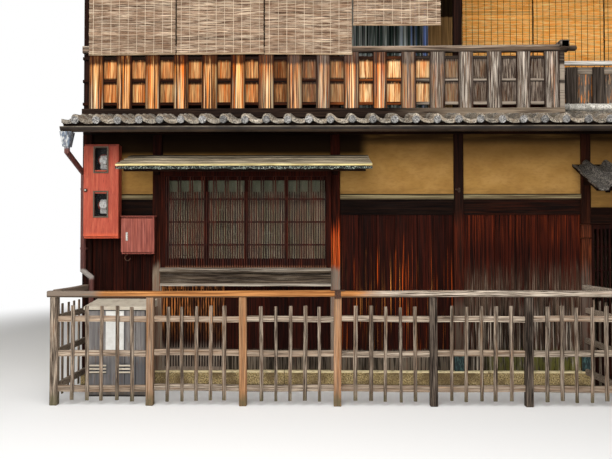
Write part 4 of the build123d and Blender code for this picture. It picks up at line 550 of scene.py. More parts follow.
@dataclass(frozen=True)
class Rows:
    """Copies of one small shape in rows, made by Geometry Nodes.

    The first copy stands where its shape was made; step_across and step_along lead to the next
    ones, slip is how far each strays on each axis, and turn how far it turns, in radians.
    """

    across: int
    along: int
    step_across: Point
    step_along: Point = (0.0, 0.0, 0.0)
    slip: Point = (0.0, 0.0, 0.0)
    turn: Point = (0.0, 0.0, 0.0)
    seed: int = 1

    def tree(self, finish: Finish) -> Tree:
        """Builds the tree, with a named input for each size, and a finish for the copies."""
        tree = bpy.data.node_groups.new("rows_of_" + finish.name, "GeometryNodeTree")
        inputs = {"Geometry": "Geometry", "Across": "Int", "Along": "Int", "Step Across": "Vector",
                  "Step Along": "Vector", "Slip": "Vector", "Turn": "Vector", "Centre": "Vector",
                  "Seed": "Int"}
        for name, kind in inputs.items():
            tree.interface.new_socket(name=name, in_out="INPUT", socket_type="NodeSocket" + kind)
        tree.interface.new_socket(name="Geometry", in_out="OUTPUT", socket_type="NodeSocketGeometry")
        given = add_node(tree, "NodeGroupInput").outputs
        copies = add_node(tree, "GeometryNodeInstanceOnPoints",
                          {"Points": self._points(tree, given), "Instance": given["Geometry"],
                           "Rotation": self._rotation(tree, given)}).outputs[0]
        for number, name, low, high in ((2.0, "tone", -1.0, 1.0), (3.0, "seed", 0.0, 10.0)):
            seed = add_node(tree, "ShaderNodeMath", {0: given["Seed"], 1: number}, operation="ADD")
            dice = add_node(tree, "FunctionNodeRandomValue", {2: low, 3: high, "Seed": seed.outputs[0]},
                            data_type="FLOAT")
            copies = add_node(tree, "GeometryNodeStoreNamedAttribute",
                              {"Geometry": copies, "Name": name, "Value": dice.outputs[1]},
                              domain="INSTANCE", data_type="FLOAT").outputs[0]
        real = add_node(tree, "GeometryNodeRealizeInstances", {"Geometry": copies}).outputs[0]
        done = add_node(tree, "GeometryNodeSetMaterial", {"Geometry": real, "Material": finish.material()})
        add_node(tree, "NodeGroupOutput", {"Geometry": done.outputs[0]})
        return tree

    def _stray(self, tree: Tree, given: Sequence[Socket], number: float, name: str) -> Socket:
        """A random vector for each copy, up to the named input on each axis, from the seed plus a number."""
        seed = add_node(tree, "ShaderNodeMath", {0: given["Seed"], 1: number}, operation="ADD")
        dice = add_node(tree, "FunctionNodeRandomValue",
                        {0: (-1.0, -1.0, -1.0), 1: (1.0, 1.0, 1.0), "Seed": seed.outputs[0]},
                        data_type="FLOAT_VECTOR")
        return add_node(tree, "ShaderNodeVectorMath", {0: dice.outputs[0], 1: given[name]},
                        operation="MULTIPLY").outputs[0]

    def _points(self, tree: Tree, given: Sequence[Socket]) -> Socket:
        """Where the copies go: rows and columns from the first copy on, each a little astray."""
        count = add_node(tree, "ShaderNodeMath", {0: given["Across"], 1: given["Along"]},
                         operation="MULTIPLY")
        index = add_node(tree, "GeometryNodeInputIndex").outputs[0]
        column = add_node(tree, "ShaderNodeMath", {0: index, 1: given["Across"]}, operation="MODULO")
        share = add_node(tree, "ShaderNodeMath", {0: index, 1: given["Across"]}, operation="DIVIDE")
        row = add_node(tree, "ShaderNodeMath", {0: share.outputs[0]}, operation="FLOOR")
        spot = None
        for name, number in (("Step Across", column), ("Step Along", row)):
            step = add_node(tree, "ShaderNodeVectorMath", {0: given[name], "Scale": number.outputs[0]},
                            operation="SCALE").outputs[0]
            spot = step if spot is None else add_node(tree, "ShaderNodeVectorMath", {0: spot, 1: step},
                                                      operation="ADD").outputs[0]
        for more in (given["Centre"], self._stray(tree, given, 0.0, "Slip")):
            spot = add_node(tree, "ShaderNodeVectorMath", {0: spot, 1: more}, operation="ADD").outputs[0]
        return add_node(tree, "GeometryNodePoints", {"Count": count.outputs[0], "Position": spot}).outputs[0]

    def _rotation(self, tree: Tree, given: Sequence[Socket]) -> Socket:
        """How each copy is turned."""
        turn = self._stray(tree, given, 1.0, "Turn")
        return add_node(tree, "FunctionNodeEulerToRotation", {0: turn}).outputs[0]

    def piece(self, name: str, shape: Mesher, finish: Finish, slot: str, stands_for: Names = ()) -> None:
        """Makes the rows of a shape into one plain mesh.

        Args:
            name: Name of the piece.
            shape: The small shape, where its first copy stands.
            finish: Finish of the copies.
            slot: Material slot of the record; not used.
            stands_for: Nodes that it replaces.
        """
        ends = [(min(axis), max(axis)) for axis in zip(*shape.points)]
        centre = Vector((low + high) / 2 for low, high in ends)
        near = [tuple(Vector(point) - centre) for point in shape.points]
        maker = put(name + "_maker", mesh_of(name + "_one", near, shape.faces))
        tree = self.tree(finish)
        modifier = maker.modifiers.new("rows", "NODES")
        modifier.node_group = tree
        values = {"Across": self.across, "Along": self.along, "Step Across": self.step_across,
                  "Step Along": self.step_along, "Slip": self.slip, "Turn": self.turn,
                  "Centre": tuple(centre), "Seed": self.seed}
        for item in tree.interface.items_tree:
            if item.in_out == "INPUT" and item.name in values:
                modifier[item.identifier] = values[item.name]
        seen = bpy.context.evaluated_depsgraph_get()
        result = bpy.data.meshes.new_from_object(maker.evaluated_get(seen))
        result.name = name
        bpy.data.objects.remove(maker)
        bpy.data.node_groups.remove(tree)
        settle(put(name, result), stands_for)


@dataclass
class Studio:
    """Pale floor, soft light and the camera at the photograph's viewing angle."""

    eye: Point = (-0.877, -11.24, 1.56)
    tilt_deg: float = 91.16
    pan_deg: float = 0.78
    lens_mm: float = 39.06
    sensor_mm: float = 36.0
    ambient: float = 0.32
    floor_half: float = 60.0
    floor_colour: str = "F6F5F3"
    fade: Span = (5.9, 9.5)
    # Name, place, aim, size in metres and power in watts of each lamp
    lamps: tuple[tuple[str, Point, Point, float, float], ...] = (
        ("sky_front", (-2.0, -12.5, 4.8), (0.0, -3.9, 2.4), 7.0, 800.0),
        ("sky_high", (0.0, -9.0, 10.0), (0.0, -2.0, 2.0), 6.0, 300.0),
        ("sky_left", (-9.0, -9.0, 6.0), (-1.0, -3.9, 2.0), 4.0, 130.0))

    def build(self) -> None:
        """Sets up camera, world, lamps and floor."""
        self._camera()
        self._world()
        self._lamps()
        self._floor()
        bpy.context.scene.view_settings.view_transform = "Standard"

    def _camera(self) -> None:
        """The camera, level with a person's eyes across the street."""
        data = bpy.data.cameras.new("camera")
        data.lens = self.lens_mm
        data.sensor_width = self.sensor_mm
        camera = put("camera", data)
        camera.location = self.eye
        camera.rotation_euler = (math.radians(self.tilt_deg), 0.0, math.radians(self.pan_deg))
        bpy.context.scene.camera = camera

    def _seen(self, tree: Tree) -> Socket:
        """One where the camera, a mirror or glass looks straight at it, else zero."""
        path = add_node(tree, "ShaderNodeLightPath").outputs
        first = add_node(tree, "ShaderNodeMath", {0: path["Is Camera Ray"], 1: path["Is Glossy Ray"]},
                         operation="MAXIMUM").outputs[0]
        return add_node(tree, "ShaderNodeMath", {0: first, 1: path["Is Transmission Ray"]},
                        operation="MAXIMUM").outputs[0]

    def _world(self) -> None:
        """A white backdrop that lights the house softly from all round."""
        world = bpy.data.worlds.new("studio")
        world.use_nodes = True
        tree = world.node_tree
        background = tree.nodes["Background"]
        background.inputs["Color"].default_value = WHITE
        level = add_node(tree, "ShaderNodeMapRange",
                         {"Value": self._seen(tree), "To Min": self.ambient, "To Max": 1.0})
        tree.links.new(level.outputs["Result"], background.inputs["Strength"])
        bpy.context.scene.world = world

    def _lamps(self) -> None:
        """Broad lamps in front, overhead and at the left, as an overcast sky over the street gives."""
        for name, place, aim, size, power in self.lamps:
            data = bpy.data.lights.new(name, "AREA")
            data.size = size
            data.energy = power
            lamp = put(name, data)
            lamp.location = place
            lamp.rotation_euler = (Vector(aim) - Vector(place)).to_track_quat("-Z", "Y").to_euler()

    def _floor(self) -> None:
        """A plain pale floor, white far off, which keeps the shadow of the house."""
        half = self.floor_half
        mesh = bpy.data.meshes.new("floor")
        mesh.from_pydata([(-half, -half, 0), (half, -half, 0), (half, half, 0), (-half, half, 0)], [],
                         [(0, 1, 2, 3)])
        made = bpy.data.materials.new("pale_floor")
        made.use_nodes = True
        tree = made.node_tree
        shader = tree.nodes["Principled BSDF"]
        shader.inputs["Base Color"].default_value = linear(self.floor_colour)
        shader.inputs["Roughness"].default_value = 0.9
        shader.inputs["Specular IOR Level"].default_value = 0.1
        place = add_node(tree, "ShaderNodeTexCoord").outputs["Object"]
        reach = add_node(tree, "ShaderNodeVectorMath", {0: place}, operation="LENGTH").outputs["Value"]
        far = add_node(tree, "ShaderNodeMapRange",
                       {"Value": reach, "From Min": self.fade[0], "From Max": self.fade[1]},
                       interpolation_type="SMOOTHSTEP").outputs["Result"]
        share = add_node(tree, "ShaderNodeMath", {0: far, 1: self._seen(tree)},
                         operation="MULTIPLY").outputs[0]
        glow = add_node(tree, "ShaderNodeEmission").outputs[0]
        joined = add_node(tree, "ShaderNodeMixShader", {0: share, 1: shader.outputs[0], 2: glow})
        tree.links.new(joined.outputs[0], tree.nodes["Material Output"].inputs["Surface"])
        mesh.materials.append(made)
        floor = put("floor", mesh)


# Painted shade of the blinds across the tops of the left balcony boards
TOP_SHADE = (Zone(Z, 3.50, 3.55, 0.03), Zone(X, 0.9, 0.5))
# Cedar beams under old brown stain, black with soot: close dark lines along the beam
BEAM_DARK = timber("stained_cedar_beam", X, "060302", "150B07", "2E170D", wide_mm=30, long_mm=900)
# The same stain on uprights, worn redder where hands and rain reach
POST_DARK = timber("stained_cedar_post", Z, "060302", "180B07", "34140C", wide_mm=24, long_mm=800)
# Bare cedar gone silver in the weather: raised grey grain with dark furrows
POST_GREY = timber("weathered_cedar_upright", Z, "3A3028", "7C6F62", "AA9C8B")
BEAM_GREY = timber("weathered_cedar_beam", X, "30261F", "6E6156", "A29483")
# Dark soffit boards that never see the sun
SOFFIT = timber("sooty_cedar_soffit", Y, "080504", "1C130E", "33251C", wide_mm=60, long_mm=900)
# Sill beam of the balcony: sooty at the left, silver at the right
SILL_BEAM = timber(
    "weathered_sill_beam", X, "0A0605", "1E140F", "3A2B22",
    Layer("94836F", 0.9, 26, 500, 0.75, 0.15, zones=(Zone(X, -0.1, 1.0, 0.3),), seed=7),
    Layer("4E4035", 0.7, 12, 300, 0.45, 0.1, zones=(Zone(X, 0.1, 1.2),), seed=9))
TOP_RAIL = timber(
    "weathered_rail_beam", X, "1A120E", "6A5646", "A08C78",
    Layer("C4B4A2", 0.8, 10, 400, 0.6, 0.12, zones=(Zone(Z, 3.71, 3.74),), seed=6),
    Layer("120D0B", 0.85, 40, 500, 0.6, 0.15, zones=(Zone(X, 0.9, 1.6),), seed=7),
    # Painted shade along the underside of the rail
    Layer("120D0B", 0.8, 40, 500, 0.9, 0.15, zones=(Zone(Z, 3.69, 3.67),), seed=8))
# Rails of the set-back balcony, bleached nearly white on top
RAIL_SILVER = timber("bleached_rail", X, "8A8078", "E0D8CE", "FFFAF2", wide_mm=14, long_mm=500)
# Dark stained boards of the set-back balcony, and orange wood in the panels behind, kept to their middles by
# painted shade along their edges
BOARD_SOOTY = timber("sooty_cedar_board", Z, "0C0907", "3A322C", "7A6C60", wide_mm=16, long_mm=600)
PANEL_SOOTY = timber(
    "sooty_cedar_panel", Z, "15100D", "5A5048", "8E8276",
    Layer("E08A3A", 0.95, 24, 260, 0.24, 0.06, seed=6),
    Layer("FFD8A0", 0.9, 9, 200, 0.16, 0.05, seed=7),
    # Painted shade along the panel edges beside the boards
    Layer("120D0A", 0.97, 16, 300, 0.9, 0.14, attribute="edge", seed=8),
    wide_mm=14, long_mm=300)
# Wide balcony boards: rain has scoured the stain off, so cream and orange wood shows between dark furrows
BOARD_SCOURED = timber(
    "sun_scoured_cedar_board", Z, "4A1606", "E06410", "FF9C40",
    Layer("FFE8C0", 0.95, 22, 1200, 0.42, 0.07, zones=(Zone(Z, 3.50, 3.22, 0.12),), seed=6),
    Layer("FFD898", 0.75, 8, 900, 0.4, 0.08, seed=6.5),
    Layer("2E0F06", 0.97, 14, 1500, 0.46, 0.05, seed=7),
    # Painted shade of the blinds along the tops of the boards
    Layer("2A0E06", 0.92, 20, 200, 0.97, 0.2, zones=TOP_SHADE, seed=9),
    Layer("6A5E53", 0.97, 30, 900, 0.92, 0.2, attribute="age", seed=10),
    Layer("D2C6B6", 0.92, 10, 400, 0.46, 0.07, attribute="age", seed=11),
    Layer("2A201A", 0.95, 6, 300, 0.44, 0.06, attribute="age", seed=12),
    # Painted shade along each board's edges, which leaves a painted highlight down its middle
    Layer("1E0C06", 0.96, 12, 600, 0.97, 0.14, attribute="edge", seed=8),
    wide_mm=34, long_mm=1100, light_cover=0.45, dark_cover=0.288, tone=0.2)
# Thin panels behind them, with painted shade along their edges beside the boards and along the rails, so they
# are brightest in the middle
PANEL_SCOURED = timber(
    "sun_scoured_cedar_panel", Z, "3A1205", "E07020", "FFCC88",
    Layer("FFD8A0", 0.75, 20, 300, 0.45, 0.1, zones=(Zone(X, -0.9, -0.5),), seed=6),
    # Painted shade along the panel edges where the boards overlap them
    Layer("160806", 0.98, 16, 300, 0.9, 0.14, attribute="edge", seed=8),
    # Painted shade under the top rail and round the middle rail
    Layer("160806", 0.96, 20, 60, 0.95, 0.2, zones=(Zone(Z, 3.545, 3.575),), seed=8.5),
    Layer("160806", 0.96, 20, 60, 0.95, 0.2, zones=(Zone(Z, 3.300, 3.322), Zone(Z, 3.395, 3.370)),
          seed=8.7),
    Layer("20100A", 0.95, 30, 300, 0.92, 0.2, attribute="shade", seed=9),
    Layer("342A24", 0.95, 30, 400, 0.92, 0.2, attribute="age", seed=10),
    Layer("8E8072", 0.8, 7, 200, 0.42, 0.07, attribute="age", seed=11),
    wide_mm=15, long_mm=400, tone=0.2)
BALCONY_RAIL = timber(
    "stained_balcony_rail", X, "0A0503", "1E0E08", "44200F",
    Layer("8A4A22", 0.85, 20, 300, 0.6, 0.2, zones=(Zone(X, -0.8, -0.5), Zone(X, 0.3, 0.1)), seed=6),
    Layer("A09282", 0.9, 20, 300, 0.8, 0.2, zones=(Zone(X, 0.1, 0.5),), seed=7),
    # Painted shade along the top rail under the blinds and under the middle rail
    Layer("1A110C", 0.92, 20, 300, 0.95, 0.2, zones=(Zone(Z, 3.50, 3.53),), seed=7.5),
    Layer("120A07", 0.9, 20, 300, 0.9, 0.2, zones=(Zone(Z, 3.352, 3.340), Zone(Z, 3.30, 3.32)), seed=8))
RIGHT_BAY = Zone(X, 0.68, 0.76)
MIDDLE_BAY = (Zone(X, 0.72, 0.66), Zone(X, -0.62, -0.56))
# Wall boarding under brown stain, worn through in flames from below
BOARD_STAINED = timber(
    "stained_cedar_boarding", Z, "070302", "190A06", "3A130A",
    Layer("4E1B0D", 0.85, 8, 1100, 0.5, 0.1, zones=(RIGHT_BAY,), seed=6),
    Layer("8A3818", 0.65, 4, 700, 0.32, 0.06, zones=(RIGHT_BAY, Zone(Z, 1.45, 1.7)), seed=6.4),
    Layer("0A0403", 0.9, 7, 900, 0.42, 0.07, zones=(RIGHT_BAY,), seed=6.7),
    Layer("A8440F", 0.97, 14, 1700, 0.16, 0.05, zones=(Zone(Z, 1.70, 1.15, 0.3), *MIDDLE_BAY), seed=7),
    Layer("F29A4A", 0.95, 8, 1500, 0.10, 0.05, zones=(Zone(Z, 1.50, 1.10, 0.25), *MIDDLE_BAY), seed=7.3),
    Layer("463A2E", 0.85, 22, 900, 0.56, 0.2, zones=(Zone(Z, 1.42, 0.85, 0.25), RIGHT_BAY), seed=9),
    Layer("9E8C78", 0.75, 4, 500, 0.26, 0.05, zones=(Zone(Z, 1.42, 0.95, 0.25), RIGHT_BAY), seed=9.2),
    Layer("62584C", 0.94, 30, 700, 0.85, 0.2, zones=(Zone(Z, 0.40, 0.34, 0.04),), seed=9.5),
    Layer("B8AC9C", 0.85, 14, 500, 0.34, 0.06, zones=(Zone(Z, 0.95, 0.6, 0.1), RIGHT_BAY), seed=10),
    Layer("140E0A", 0.92, 12, 900, 0.42, 0.05, zones=(Zone(Z, 1.10, 0.7, 0.1), RIGHT_BAY), seed=10.4),
    Layer("1C1610", 0.9, 14, 400, 0.44, 0.06, zones=(Zone(Z, 0.42, 0.36, 0.04),), seed=10.7),
    Layer("5E5C2A", 0.85, 26, 120, 0.6, 0.15, zones=(Zone(Z, 0.42, 0.3, 0.1), Zone(X, 0.95, 1.15)),
          seed=12),
    wide_mm=18, long_mm=1300, dark_cover=0.44, tone=0.3)
LINTEL = timber(
    "stained_lintel_board", X, "040202", "0E0705", "22130C",
    Layer("5A4E38", 0.97, 20, 600, 0.95, 0.2, zones=(Zone(Z, 2.036, 2.044),), seed=6),
    Layer("A89A74", 0.85, 6, 700, 0.46, 0.12, zones=(Zone(Z, 2.050, 2.060),), seed=7),
    # Painted shadow along the top of the lintel
    Layer("120C08", 0.95, 8, 900, 0.9, 0.2, zones=(Zone(Z, 2.084, 2.092),), seed=7.5),
    Layer("341409", 0.6, 14, 500, 0.4, 0.12, zones=(Zone(X, 0.6, 0.9),), seed=8))
SILL_GREY = timber(
    "weathered_sill_board", X, "0E0A08", "2A2019", "665848",
    # Pale weathered streaks brightened into painted highlights along the top ledge and the lower edge
    Layer("C2B5A4", 0.8, 6, 500, 0.42, 0.1, zones=(Zone(Z, 1.245, 1.265),), seed=6),
    Layer("A79A8A", 0.6, 4, 400, 0.24, 0.05, seed=6.5),
    Layer("C2B5A4", 0.8, 8, 500, 0.6, 0.12, zones=(Zone(Z, 1.125, 1.112),), seed=7))
# Thin window bars under dark red stain
LATTICE = Finish("stained_cypress_bars", "280F08", Z, (
    Layer("5A2414", 0.75, 13, 300, 0.45, 0.1),
    Layer("0C0504", 0.7, 26, 400, 0.45, 0.1, seed=2),
    Layer("7A5038", 0.9, 20, 60, 0.9, 0.2, zones=(Zone(Z, 1.325, 1.295, 0.01),), seed=4)),
    roughness=0.7, specular=0.12, relief=((4, 200, 0.4),))
LOWER_BARS = Finish("worn_cypress_bars", "34170A", Z, (
    Layer("D08040", 0.85, 14, 300, 0.48, 0.08, zones=(Zone(Z, 0.45, 0.7),)),
    Layer("1E0D07", 0.8, 29, 300, 0.5, 0.12, seed=2),
    Layer("8A7C6E", 0.85, 20, 200, 0.8, 0.2, zones=(Zone(Z, 0.50, 0.34, 0.05),), seed=3)),
    roughness=0.75, specular=0.12)
FRAME_DARK = timber("stained_window_frame", Z, "080302", "200C07", "45190E", wide_mm=16, long_mm=500)
# Posts of the front wall, each with its own weathering
POST_LEFT = timber(
    "stained_post_left", Z, "080403", "1C0C08", "3A170C",
    Layer("857867", 0.95, 20, 500, 0.85, 0.2, zones=(Zone(Z, 1.38, 1.22, 0.1),), seed=6),
    Layer("6A2E18", 0.7, 9, 500, 0.42, 0.1, zones=(Zone(Z, 1.95, 1.5, 0.2),), seed=7))
POST_RED = timber(
    "stained_post_red", Z, "0A0403", "240D07", "4A1B0E",
    Layer("C04A1C", 0.95, 18, 700, 0.72, 0.16, zones=(Zone(Z, 1.86, 1.60, 0.12),), seed=6),
    Layer("F0803C", 0.8, 6, 500, 0.36, 0.08, zones=(Zone(Z, 1.75, 1.50, 0.1),), seed=6.5),
    Layer("0E0503", 0.95, 7, 700, 0.46, 0.07, zones=(Zone(Z, 2.0, 1.75),), seed=7),
    Layer("7E7265", 0.97, 24, 500, 0.95, 0.2, zones=(Zone(Z, 1.33, 1.24, 0.05),), seed=8))
POST_MIDDLE = timber(
    "stained_post_middle", Z, "060403", "1A0E0A", "30180F",
    Layer("5A2110", 0.75, 8, 600, 0.46, 0.1, zones=(Zone(Z, 1.95, 1.7),), seed=6),
    Layer("54493E", 0.85, 26, 400, 0.7, 0.2, zones=(Zone(Z, 1.05, 0.8, 0.1),), seed=7))
POST_PATCHED = timber(
    "patched_post", Z, "0C0604", "24110B", "4A2516",
    Layer("7A3C22", 0.7, 12, 400, 0.46, 0.1, zones=(Zone(Z, 1.85, 1.5, 0.1),), seed=6),
    Layer("6E6156", 0.8, 20, 400, 0.6, 0.2, zones=(Zone(Z, 1.42, 1.1, 0.15),), seed=7))
# Fence of plain cedar: tan where it was renewed, silver where it is old
FENCE_WOOD = timber(
    "fence_cedar", Z, "3E2212", "9C6840", "C49468",
    Layer("64584D", 0.95, 20, 500, 0.95, 0.2, attribute="age", seed=6),
    Layer("B5A592", 0.8, 8, 300, 0.46, 0.1, attribute="age", seed=7),
    Layer("241B15", 0.92, 6, 260, 0.44, 0.06, attribute="age", seed=8),
    Layer("54503A", 0.8, 20, 60, 0.8, 0.2, zones=(Zone(Z, 0.16, 0.04, 0.02),), seed=9),
    tone=0.24)
FENCE_OLD = timber(
    "old_fence_cedar", Z, "1A120E", "4E4038", "9A8A7A",
    Layer("14100C", 0.9, 7, 300, 0.44, 0.06, seed=6),
    wide_mm=14, light_cover=0.36)
FENCE_RAIL = timber(
    "fence_rail_cedar", X, "4A2C18", "9A7050", "D0AC88",
    Layer("75685B", 0.95, 20, 500, 0.95, 0.2, attribute="age", seed=6),
    Layer("C4B4A0", 0.8, 8, 400, 0.5, 0.1, attribute="age", seed=7),
    Layer("2A2019", 0.92, 5, 260, 0.42, 0.06, attribute="age", seed=8),
    tone=0.22)
OLD_RAIL = (Zone(X, -0.5, -0.1, 0.2),)
TOP_FENCE_RAIL = timber(
    "fence_top_rail_cedar", X, "4A2812", "9C6436", "CC9058",
    Layer("85776A", 0.97, 30, 700, 0.97, 0.2, zones=(Zone(X, -0.5, -0.1, 0.3),), seed=6),
    Layer("CFC0AD", 0.85, 8, 500, 0.55, 0.1, zones=OLD_RAIL, seed=7),
    Layer("33281F", 0.95, 6, 300, 0.44, 0.06, zones=OLD_RAIL, seed=8),
    Layer("75695E", 0.97, 20, 300, 0.97, 0.2, zones=(Zone(X, -2.9, -3.05, 0.05),), seed=9),
    Layer("40352B", 0.85, 10, 400, 0.9, 0.15, zones=(Zone(Z, 1.056, 1.048),), seed=9.5),
    wide_mm=14, long_mm=900)
# Clay plaster under the eaves: ochre and trowelled, with soot and painted shade darkening it above the canopy
# and along its top
PLASTER = Finish("ochre_clay_plaster", "9E7840", X, (
    Layer("8A6434", 0.6, 420, 520, 0.5, 0.25),
    Layer("B89058", 0.4, 200, 260, 0.4, 0.2, seed=2),
    Layer("7E5A2E", 0.3, 24, 60, 0.36, 0.12, seed=3),
    # Soot and painted shade under the eave, darkest along the top
    Layer("5E4220", 0.75, 400, 900, 0.9, 0.3, zones=(Zone(Z, 2.36, 2.62),), seed=4),
    Layer("20130A", 0.9, 60, 600, 0.97, 0.3, zones=(Zone(Z, 2.60, 2.72),), seed=5),
    # Painted shade above the canopy
    Layer("140B06", 0.95, zones=(Zone(Z, 2.50, 2.58), Zone(X, -0.26, -0.40))),
    Layer("7A5A30", 0.6, 40, 200, 0.5, 0.2, zones=(Zone(Z, 2.20, 2.12),), seed=6)),
    relief=((14, 14, 0.5), (60, 90, 1.0)), roughness=0.95, rough_change=0.04, specular=0.05)
PARTY_PLASTER = Finish("lime_wall_plaster", "B3A58C", layers=(
    Layer("97876C", 0.6, 600, 400, 0.5, 0.2),
    Layer("C6BAA4", 0.5, 120, 90, 0.4, 0.15, seed=2),
    Layer("7C7058", 0.5, 160, 1400, 0.4, 0.15, seed=3)),
    relief=((14, 14, 0.6), (60, 40, 1.2)), roughness=0.92, rough_change=0.04, specular=0.1)
GRANITE = Finish("dressed_granite", "A58F60", layers=(
    Layer("CAB488", 0.75, 15, 15, 0.42, 0.09),
    Layer("3A2E1E", 0.85, 13, 13, 0.42, 0.08, seed=2),
    Layer("5E4C34", 0.8, 200, 80, 0.45, 0.12, seed=3),
    Layer("F0DEB0", 0.9, 60, 60, 0.85, 0.2, zones=(Zone(Z, 0.142, 0.150),), seed=3.5),
    Layer("3A3020", 0.85, 60, 60, 0.9, 0.2, zones=(Zone(Z, 0.035, 0.01),), seed=4)),
    relief=((6, 6, 1.5), (40, 40, 3.0)), roughness=0.88, specular=0.15)
# Smoked clay tiles: silver-grey skin worn to buff, rough like a cinder
TILE = Finish("smoked_clay_tile", "5E5953", layers=(
    Layer("8E867B", 0.7, 60, 60, 0.45, 0.15),
    Layer("2E2B28", 0.8, 30, 30, 0.44, 0.12, seed=2),
    Layer("B5AA99", 0.7, 12, 12, 0.34, 0.08, seed=3),
    Layer("75664F", 0.5, 90, 90, 0.4, 0.15, seed=4)),
    relief=((8, 8, 1.0), (40, 40, 1.6)), roughness=0.6, specular=0.2, tone=0.3)
EAVE_TILE = replace(TILE, name="eave_clay_tile", colour="857B70", layers=(
    Layer("A89C8A", 0.75, 30, 30, 0.46, 0.12),
    Layer("2A2724", 0.9, 18, 18, 0.5, 0.09, seed=2),
    Layer("D6CAB6", 0.7, 8, 8, 0.34, 0.08, seed=3),
    Layer("6E5C46", 0.6, 60, 60, 0.4, 0.15, seed=4)))
KNOB = replace(TILE, name="pressed_clay_knob", colour="5A5856", layers=(
    Layer("A8A4A0", 0.75, 18, 18, 0.45, 0.12),
    Layer("2E2E30", 0.85, 12, 12, 0.44, 0.1, seed=2),
    Layer("D0CCC4", 0.7, 7, 7, 0.28, 0.07, seed=3)),
    tone=0.4)
TILE_SOOTY = replace(TILE, name="sooty_clay_tile", colour="35312D", layers=(
    Layer("6E675F", 0.75, 30, 60, 0.4, 0.1),
    Layer("141210", 0.85, 20, 40, 0.46, 0.1, seed=2),
    Layer("C8BEB0", 0.8, 8, 16, 0.28, 0.06, seed=3)))
# Ridge caps bleached by plaster wash, with dark rain marks
RIDGE_CAP = replace(TILE, name="bleached_clay_cap", colour="E2DCD0", layers=(
    Layer("EAE6DC", 0.7, 40, 40, 0.5, 0.12),
    Layer("5E5A54", 0.8, 16, 16, 0.36, 0.1, seed=2),
    Layer("8A8478", 0.6, 60, 60, 0.4, 0.15, seed=3)))
GUTTER = Finish("brown_coated_sheet", "1A120C", layers=(
    Layer("30251B", 0.6, 200, 60, 0.45, 0.15),
    Layer("120C09", 0.7, 60, 60, 0.42, 0.12, seed=2),
    Layer("8E8270", 0.75, 300, 12, 0.55, 0.2, zones=(Zone(Z, 2.722, 2.733),), seed=3),
    Layer("4A3A2C", 0.6, 600, 20, 0.6, 0.2, zones=(Zone(Z, 2.702, 2.698),), seed=4)),
    roughness=0.55, specular=0.25, relief=((80, 80, 0.5),))
PIPE_JOINT = (Zone(Z, 2.5, 2.54),)
DOWNPIPE = Finish("brown_drain_pipe", "54302A", Z, (
    Layer("7E4E44", 0.6, 20, 300, 0.45, 0.15),
    Layer("241210", 0.7, 16, 400, 0.42, 0.12, seed=2),
    Layer("8C857E", 0.95, 60, 60, 0.97, 0.2, zones=(Zone(Z, 1.15, 1.19), Zone(Z, 1.29, 1.26)),
          seed=3),
    Layer("5E6A78", 0.95, 60, 60, 0.95, 0.2, zones=PIPE_JOINT, seed=4),
    Layer("C4C4C0", 0.85, 18, 60, 0.4, 0.1, zones=PIPE_JOINT, seed=5),
    Layer("26262C", 0.8, 20, 60, 0.4, 0.1, zones=PIPE_JOINT, seed=6)),
    roughness=0.6, specular=0.25, relief=((60, 60, 0.6),))
# Oil paint on sheet and board: salmon red, chalked in runs
RED = Finish("salmon_oil_paint", "AC4A36", Z, (
    Layer("8A3826", 0.6, 60, 500, 0.45, 0.2),
    Layer("C2684C", 0.5, 14, 200, 0.38, 0.12, seed=2),
    Layer("7C3426", 0.65, 60, 300, 0.85, 0.2, zones=(Zone(Z, 2.35, 2.62),), seed=3),
    Layer("D05A38", 0.7, 80, 80, 0.9, 0.2, zones=(Zone(Z, 1.68, 1.64),), seed=4),
    Layer("46190F", 0.6, 5, 60, 0.22, 0.06, seed=5)),
    roughness=0.68, specular=0.25, relief=((8, 200, 0.4), (90, 90, 0.8)))
RED_DULL = Finish("weathered_red_paint", "8E4A3C", Z, (
    Layer("66302A", 0.7, 14, 400, 0.5, 0.15),
    Layer("B0685A", 0.6, 7, 260, 0.4, 0.12, seed=2),
    Layer("4A201A", 0.6, 5, 300, 0.3, 0.08, seed=3)),
    roughness=0.75, specular=0.2, relief=((7, 200, 0.8),))
GLASS = Finish(
    "old_window_glass", "0C100C", roughness=0.3, rough_change=0.03, specular=0.1, alpha=0.14,
    seeded=False)
METER_GLASS = Finish(
    "meter_box_glass", "050505", roughness=0.2, rough_change=0.03, specular=0.15, alpha=0.2,
    seeded=False)
# Split reed on the sunny side: grey-brown, each reed its own shade
REED_GREY = Finish("grey_split_reed", "9C8068", X, (
    Layer("4E3426", 0.92, 8, 300, 0.47, 0.05),
    Layer("DCC8AE", 0.9, 7, 220, 0.42, 0.06, seed=2),
    Layer("7A5A42", 0.55, 60, 700, 0.45, 0.2, seed=3),
    Layer("33241A", 0.8, 5, 120, 0.27, 0.05, seed=4)),
    roughness=0.8, specular=0.12, tone=0.35, seeded=False)
REED_YELLOW = Finish("yellow_split_reed", "FFB858", X, (
    Layer("F09A3C", 0.75, 9, 180, 0.4, 0.06),
    Layer("FFE09C", 0.9, 8, 150, 0.42, 0.06, seed=2),
    Layer("F0A040", 0.3, 90, 600, 0.42, 0.2, seed=3),
    Layer("8A4A10", 0.55, 5, 100, 0.22, 0.05, seed=4)),
    roughness=0.7, specular=0.12, tone=0.22, seeded=False)
STRING_PALE = Finish("bleached_hemp_string", "DCCBB2", layers=(
    Layer("A08C74", 0.6, 9, 9, 0.35, 0.1),),
    roughness=0.9, specular=0.1)
STRING_DARK = Finish("brown_hemp_string", "2E1604", layers=(
    Layer("8A5A24", 0.5, 9, 9, 0.4, 0.1),),
    roughness=0.9, specular=0.1)
BATTEN = Finish("split_bamboo_batten", "9A846A", X, (
    Layer("5E4630", 0.7, 6, 160, 0.45, 0.1),),
    roughness=0.7, specular=0.15)
